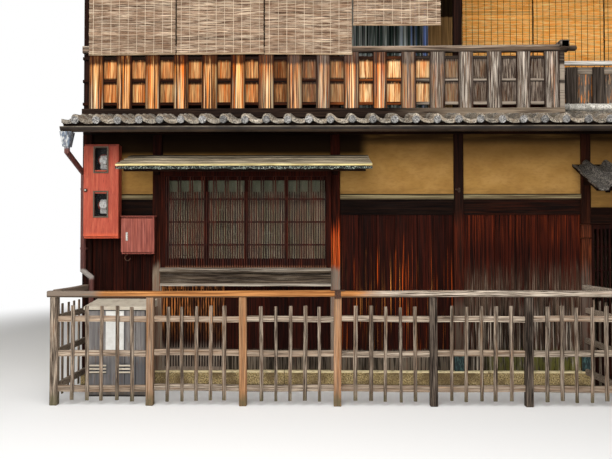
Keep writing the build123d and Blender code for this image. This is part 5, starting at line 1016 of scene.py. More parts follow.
STEEL_GREY = Finish("grey_enamel_sheet", "85807E", Z, (
    Layer("5A5654", 0.65, 60, 900, 0.5, 0.2),
    Layer("A8A29C", 0.6, 30, 700, 0.4, 0.15, seed=2),
    Layer("4C4C50", 0.75, 90, 500, 0.85, 0.2, zones=(Zone(Z, 0.50, 0.30, 0.05),), seed=2.5),
    Layer("6A4E3A", 0.6, 14, 200, 0.22, 0.06, seed=3),
    Layer("5A4E40", 0.75, 60, 60, 0.7, 0.2, zones=(Zone(Z, 0.16, 0.03, 0.05),), seed=4)),
    roughness=0.5, specular=0.3, relief=((200, 200, 0.6),))
LID_TAN = Finish("tan_enamel_sheet", "CDC2AE", Y, (
    Layer("8A7258", 0.4, 60, 200, 0.36, 0.15),
    Layer("DED4C2", 0.5, 90, 90, 0.4, 0.2, seed=2)),
    roughness=0.6, specular=0.25)
PAPER = Finish("white_sign_paper", "F2F0EA", layers=(
    Layer("DAD6CC", 0.5, 60, 60, 0.4, 0.15),),
    roughness=0.85, specular=0.2)
# Canopy boards with two battens, the outer one painted cream, over a lead drip edge
CANOPY_BOARD = timber(
    "weathered_canopy_board", X, "2A221A", "8A7C66", "C8B89C",
    Layer("16110C", 0.9, 20, 600, 0.8, 0.2, zones=(Zone(Z, 2.49, 2.52),), seed=6),
    wide_mm=14, long_mm=700)
CREAM = Finish("cream_painted_batten", "D0BE84", X, (
    Layer("6E5A34", 0.7, 6, 300, 0.4, 0.1),
    Layer("F6E8B4", 0.6, 12, 300, 0.4, 0.12, seed=2),
    Layer("3A2A16", 0.7, 4, 200, 0.3, 0.07, seed=3)),
    roughness=0.75, specular=0.2)
LEAD = Finish("flaked_lead_edge", "1C231D", layers=(
    Layer("0A0D0A", 0.8, 26, 26, 0.5, 0.1),
    Layer("8E998A", 0.9, 16, 16, 0.26, 0.05, seed=2),
    Layer("E0E0D0", 0.9, 9, 9, 0.2, 0.05, seed=3)),
    roughness=0.75, specular=0.2)
# Sheet copper gone green, nailed round the feet of two posts
COPPER = Finish("verdigris_copper_sheet", "22302F", Z, (
    Layer("121A1C", 0.8, 26, 120, 0.5, 0.15),
    Layer("4A6A66", 0.6, 12, 40, 0.38, 0.1, seed=2)),
    roughness=0.65, specular=0.3)
CHROME = Finish("worn_chrome", "A8A49C", layers=(
    Layer("4A4640", 0.7, 12, 12, 0.42, 0.12),),
    roughness=0.35, metallic=0.8)
IRON = Finish("rusted_iron", "2E221C", layers=(
    Layer("5E3C28", 0.7, 12, 12, 0.45, 0.12),),
    roughness=0.8, specular=0.2)
# Black for seals and seams, and painted shade in the louvre openings and behind the meters
SEAL_AND_SHADE_BLACK = Finish("black_seal_and_painted_shade", "121010", layers=(
    Layer("2A2624", 0.5, 12, 12, 0.4, 0.1),),
    roughness=0.6, specular=0.3)
METER_SHELL = Finish("grey_moulded_resin", "F0EEE8", layers=(
    Layer("6E6C68", 0.6, 16, 16, 0.45, 0.12),),
    roughness=0.4, specular=0.4)
METER_FRAME = Finish("grey_window_trim", "5E5446", layers=(
    Layer("3E382E", 0.8, 10, 10, 0.45, 0.12),),
    roughness=0.6, specular=0.25)
CLOTH_OLIVE = Finish("undyed_hemp_curtain", "C8BC98", Z, (
    Layer("9AA880", 0.8, 70, 700, 0.5, 0.2),
    Layer("F4ECD0", 0.7, 40, 900, 0.45, 0.15, seed=2),
    Layer("C09A88", 0.6, 110, 900, 0.42, 0.15, seed=3),
    Layer("7E8068", 0.75, 60, 300, 0.8, 0.2, zones=(Zone(Z, 1.95, 2.1),), seed=4),
    Layer("7C7E66", 0.9, 90, 300, 0.9, 0.2, zones=(Zone(Z, 2.1, 2.14),), seed=5)),
    roughness=0.95, specular=0.05)
CLOTH_STRIPED = Finish("striped_cotton_curtain", "4A5C54", Z, (
    Layer("F0FAF0", 0.92, 42, 2000, 0.42, 0.07),
    Layer("8AAAFA", 0.9, 60, 2000, 0.4, 0.07, zones=(Zone(X, 0.15, 0.3),), seed=2),
    Layer("FFFFFF", 0.85, 16, 2000, 0.32, 0.06, seed=3),
    Layer("0A0C0A", 0.9, 20, 2000, 0.4, 0.06, seed=4)),
    roughness=0.95, specular=0.05)
CLOTH_BROWN = Finish("brown_hemp_curtain", "8A6840", Z, (
    Layer("5A4028", 0.8, 40, 900, 0.5, 0.15),
    Layer("C09860", 0.6, 14, 900, 0.4, 0.12, seed=2),
    Layer("100A06", 0.95, zones=(Zone(Z, 4.36, 4.38),))),
    roughness=0.95, specular=0.05)


class Part(Protocol):
    """What main builds: a part of the house, or the studio round it."""

    def build(self) -> None:
        """Adds it to the scene."""


@dataclass
class TileRoof:
    """A slope of S-tiles in courses, each tile lapping the one below it.

    first_x is where the first roll lies, and foot_y and foot_z are the lowest point of the tile bed,
    at the eave. toward is +1 where the slope rises towards the back, with its tiles laid to the
    right, and -1 where it rises towards the street, with its tiles laid to the left.
    """

    name: str
    first_x: float
    columns: int
    courses: int
    foot_y: float
    foot_z: float
    toward: float
    slope: float
    stands_for: Names = ()
    seed: int = 3
    lip: bool = False
    finish: Finish = TILE
    exposure: float = 0.232
    thick: float = 0.016
    lip_thick: float = 0.036
    overlap: float = 0.05
    nose: Pair = (0.006, 0.004)
    knob_lift: float = 0.038

    # The S of a tile from its roll to its trough: place in shares of the pitch, and height
    ROLL = ((-0.19, 0.022), (-0.17, 0.045), (-0.12, 0.066), (-0.04, 0.077), (0.05, 0.076), (0.14, 0.062),
            (0.26, 0.040), (0.354, 0.029), (0.42, 0.024), (0.58, 0.018), (0.74, 0.021), (0.84, 0.026))
    KNOB_ROUND = ((-0.05, 0.030), (-0.045, 0.0385), (0.010, 0.0385), (0.015, 0.036), (0.016, 0.031),
                  (0.012, 0.027), (0.012, 0.004))
    VERGE = 0.354
    PITCH = 0.2154688

    def across(self) -> float:
        """Step on X from one tile to the next."""
        return self.PITCH * self.toward

    def up(self) -> Vector:
        """Way up the slope, of length one."""
        return Vector((0, self.toward, self.slope)).normalized()

    def out(self) -> Vector:
        """Way off the slope, of length one."""
        return Vector((0, -self.toward * self.slope, 1)).normalized()

    def tile(self, shape: Mesher, course: int, thick: float, column: int = 0, between: Span = (-1.0, 1.0),
             tone: float | None = 0) -> Mesher:
        """Adds one tile: the S of its top and underside, lofted up the slope.

        Args:
            shape: Where it goes.
            course: Its course, counted from the eave.
            thick: Its thickness.
            column: Its column.
            between: What is kept of the S, in shares of the pitch.
            tone: Brightness of the tile, or None for a random one.

        Returns:
            The shape.
        """
        foot = Vector((self.first_x + column * self.across(), self.foot_y, self.foot_z))
        start = self.exposure * course
        profile = [(u, height) for u, height in self.ROLL if between[0] <= u <= between[1]]
        rings = []
        for far, lift in ((start, self.thick), (start + self.nose[0], self.thick + self.nose[1]),
                          (start + self.exposure + self.overlap, 0.0)):
            base = foot + self.up() * far + self.out() * lift
            top = [base + Vector((u * self.across(), 0, 0)) + self.out() * height for u, height in profile]
            rings.append(top + [point - self.out() * thick for point in reversed(top)])
        shape.loft(rings, tone=tone)
        return shape

    def build(self) -> None:
        """Lays the courses and verges, then the eave course with its knobs where it shows."""
        first = 1 if self.lip else 0
        tile = self.tile(Mesher(), first, self.thick)
        step = tuple(self.up() * self.exposure)
        rows = Rows(self.columns, self.courses - first, (self.across(), 0, 0), step, (0.003, 0.003, 0.002),
                    (0.006, 0.006, 0.012), self.seed)
        rows.piece(self.name, tile, self.finish, ROOF_TILE, self.stands_for)
        verges = Mesher(self.seed + 30)
        for course in range(self.courses):
            thick = self.lip_thick if self.lip and not course else self.thick
            self.tile(verges, course, thick, -1, (self.VERGE, 1.0), None)
            self.tile(verges, course, thick, self.columns, (-1.0, self.VERGE), None)
        verges.piece(self.name + "_verges", self.finish, ROOF_TILE)
        if self.lip:
            self._eave()

    def _eave(self) -> None:
        """Eave tiles: a thick lip that hangs down, and a round knob on the nose of each roll."""
        eave = Rows(self.columns, 1, (self.across(), 0, 0), slip=(0.003, 0.004, 0.002),
                    turn=(0.004, 0.012, 0.012), seed=self.seed + 10)
        eave.piece(self.name + "_eave", self.tile(Mesher(), 0, self.lip_thick), EAVE_TILE, ROOF_TILE)
        knob = Mesher()
        nose = Vector((self.first_x, self.foot_y, self.foot_z)) + self.out() * self.knob_lift
        knob.turned(self.KNOB_ROUND, tuple(nose), -self.up(), 18, tone=0)
        knobs = Rows(self.columns + 1, 1, (self.across(), 0, 0), slip=(0.003, 0.004, 0.003),
                     turn=(0.05, 0.05, 0.08), seed=self.seed + 20)
        knobs.piece(self.name + "_knobs", knob, KNOB, ROOF_TILE)


@dataclass
class ReedBlinds:
    """A row of blinds of split reeds on strings, each with a batten at its foot.

    feet is the height of each blind's foot, from the left, and string_pitch about how far apart the
    strings are.
    """

    name: str
    first_x: float
    step: float
    wide: float
    y: float
    feet: Floats
    top: float
    reed: Finish
    string: Finish
    slot: str
    stands_for: Names
    string_pitch: float
    string_half: float
    seed: int
    last_x: float = 3.3125
    reed_pitch: float = 0.0056
    foot_tall: float = 0.018

    def build(self) -> None:
        """Makes each blind."""
        for number, foot in enumerate(self.feet):
            left = self.first_x + self.step * number
            right = min(left + self.wide, self.last_x)
            self._blind(f"{self.name}_{number + 1}", (left, right), foot, self.seed + number)

    def _blind(self, name: str, x: Span, foot: float, seed: int) -> None:
        """Makes the reeds, the strings and the batten of one blind, from its span on X and its foot up."""
        wide = x[1] - x[0]
        radius = self.reed_pitch * 0.52
        start = foot + self.foot_tall
        reed = Mesher()
        reed.turned(((0.0, radius), (wide, radius)), (x[0], self.y, start), Vector((1, 0, 0)), 5, tone=0)
        reeds = Rows(1, int((self.top - start) / self.reed_pitch), (0, 0, 0), (0, 0, self.reed_pitch),
                     (0.0035, 0.0006, 0.0008), (0, 0.0009, 0), seed)
        reeds.piece(name + "_reeds", reed, self.reed, self.slot, self.stands_for)
        count = round(wide / self.string_pitch)
        gap = wide / count
        front = self.y - radius
        string = Mesher()
        string.bar(about(x[0] + gap / 2, self.string_half), (front - 0.0016, front + 0.0004),
                   (foot, self.top), chamfer=0.0006, wander=0.002, steps=12, tone=0)
        strings = Rows(count, 1, (gap, 0, 0), slip=(0.003, 0, 0), turn=(0, 0.0008, 0), seed=seed + 5)
        strings.piece(name + "_strings", string, self.string, self.slot)
        batten = Mesher(seed)
        batten.bar((x[0] - 0.004, x[1] + 0.004), (self.y - 0.007, self.y + 0.006),
                   (foot - 0.002, foot + self.foot_tall), X, 0.005, 0.003, 8)
        batten.piece(name + "_batten", BATTEN, self.slot)


@dataclass
class Balcony:
    """Board front of the balcony: wide upright boards over panels, and the block on the rail's end."""

    first_x: float = -3.294
    last_x: float = 1.716
    count: int = 17
    board_wide: float = 0.160
    board_y: float = -3.975
    board_thick: float = 0.015
    cup: float = 0.005
    z: Span = (3.040, 3.660)
    panel_y: float = -3.945
    panel_thick: float = 0.010
    panel_tuck: float = 0.03
    panel_rows: Spans = ((3.113, 3.336), (3.366, 3.589))
    end_block: Box = ((1.800, 1.896), (-4.010, -3.600), (3.690, 3.778))
    end_cap: Box = ((1.868, 1.990), (-3.985, -3.925), (3.672, 3.722))
    # From the left: how grey and how bright each board is, and how dark and grey the panel in each gap
    board_grey: Floats = (0, 0, 0, 0, 0, 0, 0.05, 0.1, 0.25, 0.15, 0.1, 0.3, 0.65, 0.9, 1, 1, 1)
    board_tone: Floats = (
        -0.3, 0.5, 0.1, 0.7, 0.4, 0.6, 0.3, 0.1, 0.1, 0.8, 0.3, -0.2, -0.6, 0, 0.4, 0.5, 0.7)
    panel_dark: Floats = (
        0.2, 0.15, 0.3, 0.25, 0.3, 0.35, 0.85, 0.8, 0.6, 0.1, 0.0, 0.1, 0.5, 0.8, 0.9, 0.9)
    panel_grey: Floats = (0, 0, 0, 0, 0, 0, 0, 0.2, 0.1, 0, 0, 0.1, 0.6, 0.9, 1, 1)

    def centres(self) -> list[float]:
        """Middle of each board, from the left."""
        return even((self.first_x, self.last_x), self.count - 1)

    def build(self) -> None:
        """Makes the boards, the panels and the block on the end of the top rail."""
        self._boards()
        self._panels()
        head = Mesher(4)
        head.bar(*self.end_block, Y, 0.012, 0.004, 3)
        head.bar(*self.end_cap, X, 0.01)
        head.piece("rail_end_block", TOP_RAIL, WOOD)

    def _cupped(self, shape: Mesher, x: Span, y: float, thick: float, z: Span, cup: float, strips: int,
                **look: float) -> None:
        """Adds a weather-cupped board, with its edge share as a mark for painted edge shade.

        Args:
            shape: Where the board goes.
            x: Its span on X.
            y: Its front.
            thick: Its thickness.
            z: Its span on Z.
            cup: How far its middle stands back.
            strips: Strips across its front.
            look: Tone and age of the board.
        """
        middle, half = (x[0] + x[1]) / 2, (x[1] - x[0]) / 2
        shares = [2 * strip / strips - 1 for strip in range(strips + 1)]
        lean = shape.dice.uniform(-0.004, 0.004)
        ragged = [shape.dice.uniform(-0.006, 0.003) for _ in shares]
        flush = [0.0] * len(shares)
        bevel, bevel_tall = 0.002, 0.004
        rings = []
        for height, inset, drops in ((z[0], bevel, ragged), (z[0] + bevel_tall, 0, ragged),
                                     (z[1] - bevel_tall, 0, flush), (z[1], bevel, flush)):
            shift = middle + lean * (height - z[0]) / (z[1] - z[0])
            front = [(shift + half * s, y + cup * (1 - s * s) + inset, height + drop)
                     for s, drop in zip(shares, drops)]
            rings.append(front + [(px, y + thick - inset, pz) for px, _, pz in reversed(front)])
        shape.loft(rings, **look)
        # Edge share, which the finishes use to paint shade along the edges
        marks = [abs(s) ** 1.9 for s in shares + shares[::-1]]
        shape.marks.setdefault("edge", []).extend(marks * len(rings))

    def _boards(self) -> None:
        """The wide boards, greyer towards the right."""
        shape = Mesher(11)
        for x, tone, grey in zip(self.centres(), self.board_tone, self.board_grey):
            half = self.board_wide / 2 + shape.dice.uniform(-0.006, 0.006)
            self._cupped(shape, about(x, half), self.board_y, self.board_thick, self.z, self.cup, 5,
                         tone=tone, age=grey)
        shape.piece("balcony_front_boards", BOARD_SCOURED, ORANGE_WOOD, ("balcony_boards",))

    def _panels(self) -> None:
        """A panel in each gap between two boards, in two rows."""
        shape = Mesher(12)
        shade: list[float] = []
        inset = self.board_wide / 2 - self.panel_tuck
        centres = self.centres()
        for left, right, dark, grey in zip(centres, centres[1:], self.panel_dark, self.panel_grey):
            for row in self.panel_rows:
                self._cupped(shape, (left + inset, right - inset), self.panel_y, self.panel_thick, row, 0.0,
                             6, tone=shape.dice.uniform(-0.5, 0.8), age=grey)
                shade += [dark] * (len(shape.points) - len(shade))
        shape.marks["shade"] = shade
        shape.piece("balcony_front_panels", PANEL_SCOURED, ORANGE_WOOD, ("balcony_panels",))


@dataclass
class BoardWalls:
    """Upright boards of the ground floor bays, with open joints between them."""

    face_y: float = -3.905
    thick: float = 0.030
    z: Span = (0.160, 1.870)
    # Left and right end of each bay, and how wide its boards are
    bays: tuple[tuple[float, float, float], ...] = (
        (-3.3425, -2.6695, 0.105), (-0.5995, 0.6505, 0.212), (0.7555, 2.0405, 0.112))
    joint: float = 0.003
    backing_y: Span = (-3.874, -3.867)
    # The panel beside the lower lattice, and the dark boards that back both as painted shade
    panel_x: Span = (-1.880, -0.7045)
    panel_z: Span = (0.160, 1.092)
    panel_count: int = 5
    panel_joint: float = 0.004
    panel_set_back: Pair = (0.02, 0.04)
    panel_backing: tuple[Span, Span] = ((-2.560, -0.710), (0.162, 1.090))

    def build(self) -> None:
        """Lays the boards of each bay and of the panel under the window."""
        shape = Mesher(21)
        backing = Mesher(22)
        for left, right, wide in self.bays:
            # Dark boards behind the open joints stand in for the shade behind the boarding
            backing.bar((left, right), self.backing_y, self.z, tone=-1)
            edges = even((left, right), round((right - left) / wide))
            edges[1:-1] = [edge + shape.dice.uniform(-0.12, 0.12) * wide for edge in edges[1:-1]]
            for near, far in zip(edges, edges[1:]):
                back = shape.dice.uniform(0.0, 0.006)
                shape.bar((near + self.joint / 2, far - self.joint / 2),
                          (self.face_y + back, self.face_y + self.thick), self.z, wander=0.0006, steps=2)
        backing.bar(self.panel_backing[0], self.backing_y, self.panel_backing[1], tone=-1)
        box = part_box("front_board_wall")
        front, back = (box[0].y + depth for depth in self.panel_set_back)
        edges = even(self.panel_x, self.panel_count)
        for near, far in zip(edges, edges[1:]):
            shape.bar((near + self.panel_joint / 2, far - self.panel_joint / 2), (front, back), self.panel_z)
        shape.piece("front_boarding", BOARD_STAINED, DARK_WOOD, ("front_board_wall",))
        backing.piece("boarding_shade_backs", BEAM_DARK, DARK_WOOD)


@dataclass
class FrontPosts:
    """Posts of both fronts, each as its own timber with its own wear, and what is fixed to them."""

    z: Span = (0.160, 2.760)
    half: float = 0.0525
    face_y: float = -3.940
    back_y: float = 3.940
    corner_x: float = 3.395
    window_left_x: float = -2.617
    window_right_x: float = -0.652
    middle_x: float = 0.703
    entrance_x: float = 2.093
    # The three lengths of the entrance post, and how far the upper one stands back
    patch_z: Spans = ((0.160, 1.612), (1.616, 1.764), (1.768, 2.760))
    patch_back: Floats = (0.0, 0.0, 0.004)
    copper: float = 0.003
    copper_z: Span = (0.161, 0.330)
    hook_z: Span = (2.115, 2.165)

    def post(self, name: str, x: float, finish: Finish, y: Span) -> None:
        """Makes one post, on its centre line x and over its span on Y."""
        shape = Mesher(len(name))
        shape.bar(about(x, self.half), y, self.z, chamfer=0.006, wander=0.0025, steps=8, tone=0)
        shape.piece(name, finish, DARK_WOOD, ("ground_posts",))

    def build(self) -> None:
        """Stands the front posts and the plain back ones, and makes what is fixed to the front ones."""
        front = (self.face_y, self.face_y + 2 * self.half)
        for name, x, finish in (("corner_post_left", -self.corner_x, POST_DARK),
                                ("window_post_left", self.window_left_x, POST_LEFT),
                                ("window_post_right", self.window_right_x, POST_RED),
                                ("wall_post_middle", self.middle_x, POST_MIDDLE),
                                ("corner_post_right", self.corner_x, POST_DARK)):
            self.post(name, x, finish, front)
        self._patched(front)
        for number, share in enumerate((-1, -0.5, 0, 0.5, 1)):
            self.post(f"back_post_{number + 1}", self.corner_x * share, POST_DARK,
                      (self.back_y - 2 * self.half, self.back_y))
        self._fixings()

    def _patched(self, y: Span) -> None:
        """The entrance post, with a piece let into its face between two joints."""
        shape = Mesher(9)
        for z, back in zip(self.patch_z, self.patch_back):
            shape.bar(about(self.entrance_x, self.half), (y[0] + back, y[1]), z, chamfer=0.005, wander=0.001,
                      steps=3)
        shape.piece("entrance_post", POST_PATCHED, DARK_WOOD, ("ground_posts",))

    def _fixings(self) -> None:
        """Sheet copper round the feet of two posts, and an iron hook high on the middle one."""
        sheaths = Mesher(8)
        for x in (self.middle_x, self.entrance_x):
            sheaths.bar(about(x, self.half + self.copper), (self.face_y - self.copper, self.face_y + 0.02),
                        self.copper_z, chamfer=0.002)
        sheaths.piece("copper_post_feet", COPPER, METAL)
        hook = Mesher(7)
        hook.bar(about(self.middle_x, 0.013), (self.face_y - 0.014, self.face_y), self.hook_z, chamfer=0.004)
        hook.turned(((0.0, 0.010), (0.05, 0.010), (0.052, 0.006)),
                    (self.middle_x, self.face_y - 0.010, sum(self.hook_z) / 2), Vector((-1, -0.6, 0.1)), 10)
        hook.piece("post_hook", IRON, METAL)


@dataclass
class Fence:
    """Slatted fence in front of the house, each slat and rail a little out of true."""

    post_xs: Floats = (-3.393, -2.463, -1.571, -0.660, 0.256, 1.166, 2.073)
    post_age: Floats = (1.0, 0.45, 0.1, 0.25, 1.0, 0.95, 1.0)
    post_tone: Floats = (0.3, 0.0, -0.2, 0.4, -1.0, -1.1, -0.6)
    y: float = -4.840
    post_half: float = 0.036
    pickets: int = 5
    picket_half: float = 0.0175
    picket_thick: float = 0.014
    picket_z: Span = (0.047, 0.953)
    rail_z: Spans = ((0.134, 0.196), (0.472, 0.530), (0.800, 0.856))
    rail_tone: Floats = (-0.5, 0.2, 0.5)
    rail_front: float = 0.012
    rail_back: float = 0.020
    return_end: float = -3.975
    return_half: float = 0.019
    return_start: float = 0.12
    return_step: float = 0.155
    top_z: Span = (1.040, 1.100)
    top_half: float = 0.039
    top_end: float = -3.945
    top_lift: float = 0.004

    def build(self) -> None:
        """Makes posts, rails, pickets, returns and the top rail."""
        self._posts()
        self._rails()
        self._pickets()
        self._top()

    def _bays(self) -> list[Span]:
        """Span on X between the posts of each bay."""
        return [(left + self.post_half, right - self.post_half)
                for left, right in zip(self.post_xs, self.post_xs[1:])]

    def _posts(self) -> None:
        """The square posts: newer ones at the left, old ones at the right."""
        newer, older = Mesher(31), Mesher(36)
        for x, age, tone in zip(self.post_xs, self.post_age, self.post_tone):
            shape = newer if x < 0 else older
            shape.bar(about(x, self.post_half), about(self.y, self.post_half), (0.0, self.top_z[0]),
                      chamfer=0.005, wander=0.003, steps=8, age=age, tone=tone)
        newer.piece("fence_upright_posts", FENCE_WOOD, WOOD, ("fence_posts",))
        older.piece("fence_old_posts", FENCE_OLD, WOOD)

    def _rails(self) -> None:
        """Three rails in each bay, and those of the returns."""
        shape = Mesher(32)
        y = (self.y - self.rail_front, self.y + self.rail_back)
        for bay in self._bays():
            for (foot, head), tone in zip(self.rail_z, self.rail_tone):
                drop = shape.dice.uniform(-0.006, 0.006)
                shape.bar(bay, y, (foot + drop, head + drop), X, 0.003, 0.003, 8,
                          age=shape.dice.uniform(0.6, 1.0), tone=tone + shape.dice.uniform(-0.4, 0.4))
        for x in (self.post_xs[0], self.post_xs[-1]):
            for z in self.rail_z:
                shape.bar((x - self.rail_back, x + self.rail_front),
                          (self.y + self.post_half, self.return_end), z, Y, 0.003, 0.002, 4, age=0.9)
        shape.piece("fence_rails", FENCE_RAIL, WOOD, ("fence_panels",))

    def _pickets(self) -> None:
        """The pickets of each bay and of each return."""
        shape = Mesher(33)
        front = self.y - self.rail_front
        for near, far in self._bays():
            for number in range(self.pickets):
                share = (number + 1) / (self.pickets + 1)
                x = near + (far - near) * share + shape.dice.uniform(-0.005, 0.005)
                half = self.picket_half + shape.dice.uniform(-0.003, 0.002)
                lift = shape.dice.uniform(-0.010, 0.010)
                shape.bar(about(x, half), (front - self.picket_thick, front),
                          (self.picket_z[0] + lift, self.picket_z[1] + lift), wander=0.004, steps=8,
                          age=shape.dice.uniform(0.85, 1.0), tone=shape.dice.uniform(-1.2, 0.3))
        for x, toward in ((self.post_xs[0] - self.rail_back, -1), (self.post_xs[-1] + self.rail_front, 1)):
            for number in range(self.pickets):
                y = self.y + self.return_start + number * self.return_step
                shape.bar((x, x + toward * self.picket_thick), about(y, self.return_half), self.picket_z,
                          wander=0.003, steps=6, age=shape.dice.uniform(0.7, 1.0))
        shape.piece("fence_pickets", FENCE_WOOD, WOOD, ("fence_panels",))

    def _top(self) -> None:
        """The top rail with its returns, and an iron saddle over its joint."""
        shape = Mesher(34)
        left, right = self.post_xs[0] - self.post_half, self.post_xs[-1] + self.post_half
        joint = self.post_xs[3]
        y = about(self.y, self.top_half)
        foot, head = self.top_z
        shape.bar((left - 0.03, joint - 0.002), y, self.top_z, X, 0.006, 0.005, 16, tone=0.2, seed=0.4)
        shape.bar((joint + 0.002, right), y, self.top_z, X, 0.006, 0.004, 16, tone=0.4, seed=0.9)
        for x in (self.post_xs[0], self.post_xs[-1]):
            shape.bar(about(x, self.post_half), (y[1], self.top_end),
                      (foot + self.top_lift, head + self.top_lift), Y, 0.006, 0.003, 6, tone=0.1)
        shape.piece("fence_rail_on_top", TOP_FENCE_RAIL, WOOD, ("fence_top_rail",))
        saddle = Mesher(35)
        saddle.bar(about(joint, 0.07), about(self.y, self.top_half + 0.003), (head + 0.001, head + 0.007), X,
                   0.002, steps=2)
        saddle.bar(about(joint, 0.03), (y[0] - 0.006, y[0] - 0.002), (foot - 0.012, head + 0.004),
                   chamfer=0.001)
        saddle.piece("fence_rail_saddle", IRON, METAL)


@dataclass
class Canopy:
    """Board canopy over the window: lapped boards, two battens and a drip edge.

    back and front are Y and Z of the slope at the wall and at the drip edge.
    """

    x: Span = (-2.907, -0.297)
    back: Pair = (-3.942, 2.530)
    front: Pair = (-4.540, 2.350)
    thick: float = 0.012
    boards: int = 4
    board_step: float = 0.235
    board_wide: float = 0.262
    board_tilt: float = 0.014
    edge_y: Pair = (-0.002, 0.003)
    edge_top: float = 2.338
    edge_hang: float = 0.028

    def at(self, share: float, lift: float) -> Pair:
        """Y and Z of a place that far over the slope: share is 0 at the wall and 1 at the drip edge."""
        y = self.back[0] + (self.front[0] - self.back[0]) * share
        return y, self.back[1] + (self.front[1] - self.back[1]) * share + lift

    def plank(self, shape: Mesher, x: Span, share: Pair, lift: Pair, thick: float) -> None:
        """Adds a board that lies along the canopy between two places on its slope.

        Args:
            shape: Where it goes.
            x: Its span on X.
            share: Its upper and lower edge on the slope.
            lift: Height over the slope at those edges.
            thick: Its thickness.
        """
        (y0, z0), (y1, z1) = self.at(share[0], lift[0]), self.at(share[1], lift[1])
        outline = ((y0, z0), (y1, z1), (y1, z1 - thick), (y0, z0 - thick))
        rings = []
        for step, here in enumerate(even(x, 10)):
            sag = 0.0015 * math.sin(step * 1.3)
            rings.append([(here, y, z + sag) for y, z in outline])
        shape.loft(rings)

    def build(self) -> None:
        """Makes the boards, the battens and the drip edge."""
        boards, battens = Mesher(41), Mesher(42)
        for number in range(self.boards):
            start = number * self.board_step
            ends = (self.x[0] + boards.dice.uniform(0, 0.006), self.x[1] - boards.dice.uniform(0, 0.006))
            self.plank(boards, ends, (start, start + self.board_wide), (0.0, self.board_tilt), self.thick)
        self.plank(boards, self.x, (0.86, 0.925), (0.016, 0.016), 0.012)
        self.plank(battens, self.x, (0.95, 1.0), (0.010, 0.010), 0.015)
        boards.piece("canopy_boards", CANOPY_BOARD, WOOD, ("canopy_roof",))
        battens.piece("canopy_battens", CREAM, WOOD)
        edge = Mesher(43)
        near, far = (self.front[0] + depth for depth in self.edge_y)
        rings = []
        for x in even(self.x, 64):
            foot = self.edge_top - (self.edge_hang + 0.005 * edge.dice.uniform(-1, 1))
            rings.append([(x, near, self.edge_top), (x, far, self.edge_top), (x, far, foot), (x, near, foot)])
        edge.loft(rings, tone=0)
        edge.piece("canopy_drip_edge", LEAD, METAL)


@dataclass
class Curtain:
    """A cloth that hangs in soft folds from a rail."""

    name: str
    x: Span
    y: float
    z: Span
    depth: float
    folds: int
    finish: Finish
    rests_on: str
    slot: str = "grey_reed"
    strips: int = 8

    def build(self) -> None:
        dice = random.Random(self.folds)
        columns = self.folds * 8
        phase = [dice.uniform(-0.5, 0.5) for _ in range(self.folds + 1)]
        points, faces = [], []
        for strip in range(self.strips + 1):
            share = strip / self.strips
            height = self.z[1] + (self.z[0] - self.z[1]) * share
            for column, x in enumerate(even(self.x, columns)):
                shift = phase[column * self.folds // columns % 5]
                wave = math.sin(column / columns * self.folds * TURN + shift)
                points.append((x, self.y + self.depth * wave * (0.7 + 0.3 * share), height))
        wide = columns + 1
        for strip in range(self.strips):
            for corner in range(strip * wide, strip * wide + columns):
                faces.append((corner, corner + wide, corner + wide + 1, corner + 1))
        mesh = bpy.data.meshes.new(self.name)
        mesh.from_pydata(points, [], faces)
        mesh.shade_smooth()
        mesh.materials.append(self.finish.material())
        cloth = put(self.name, mesh)
        settle(cloth)


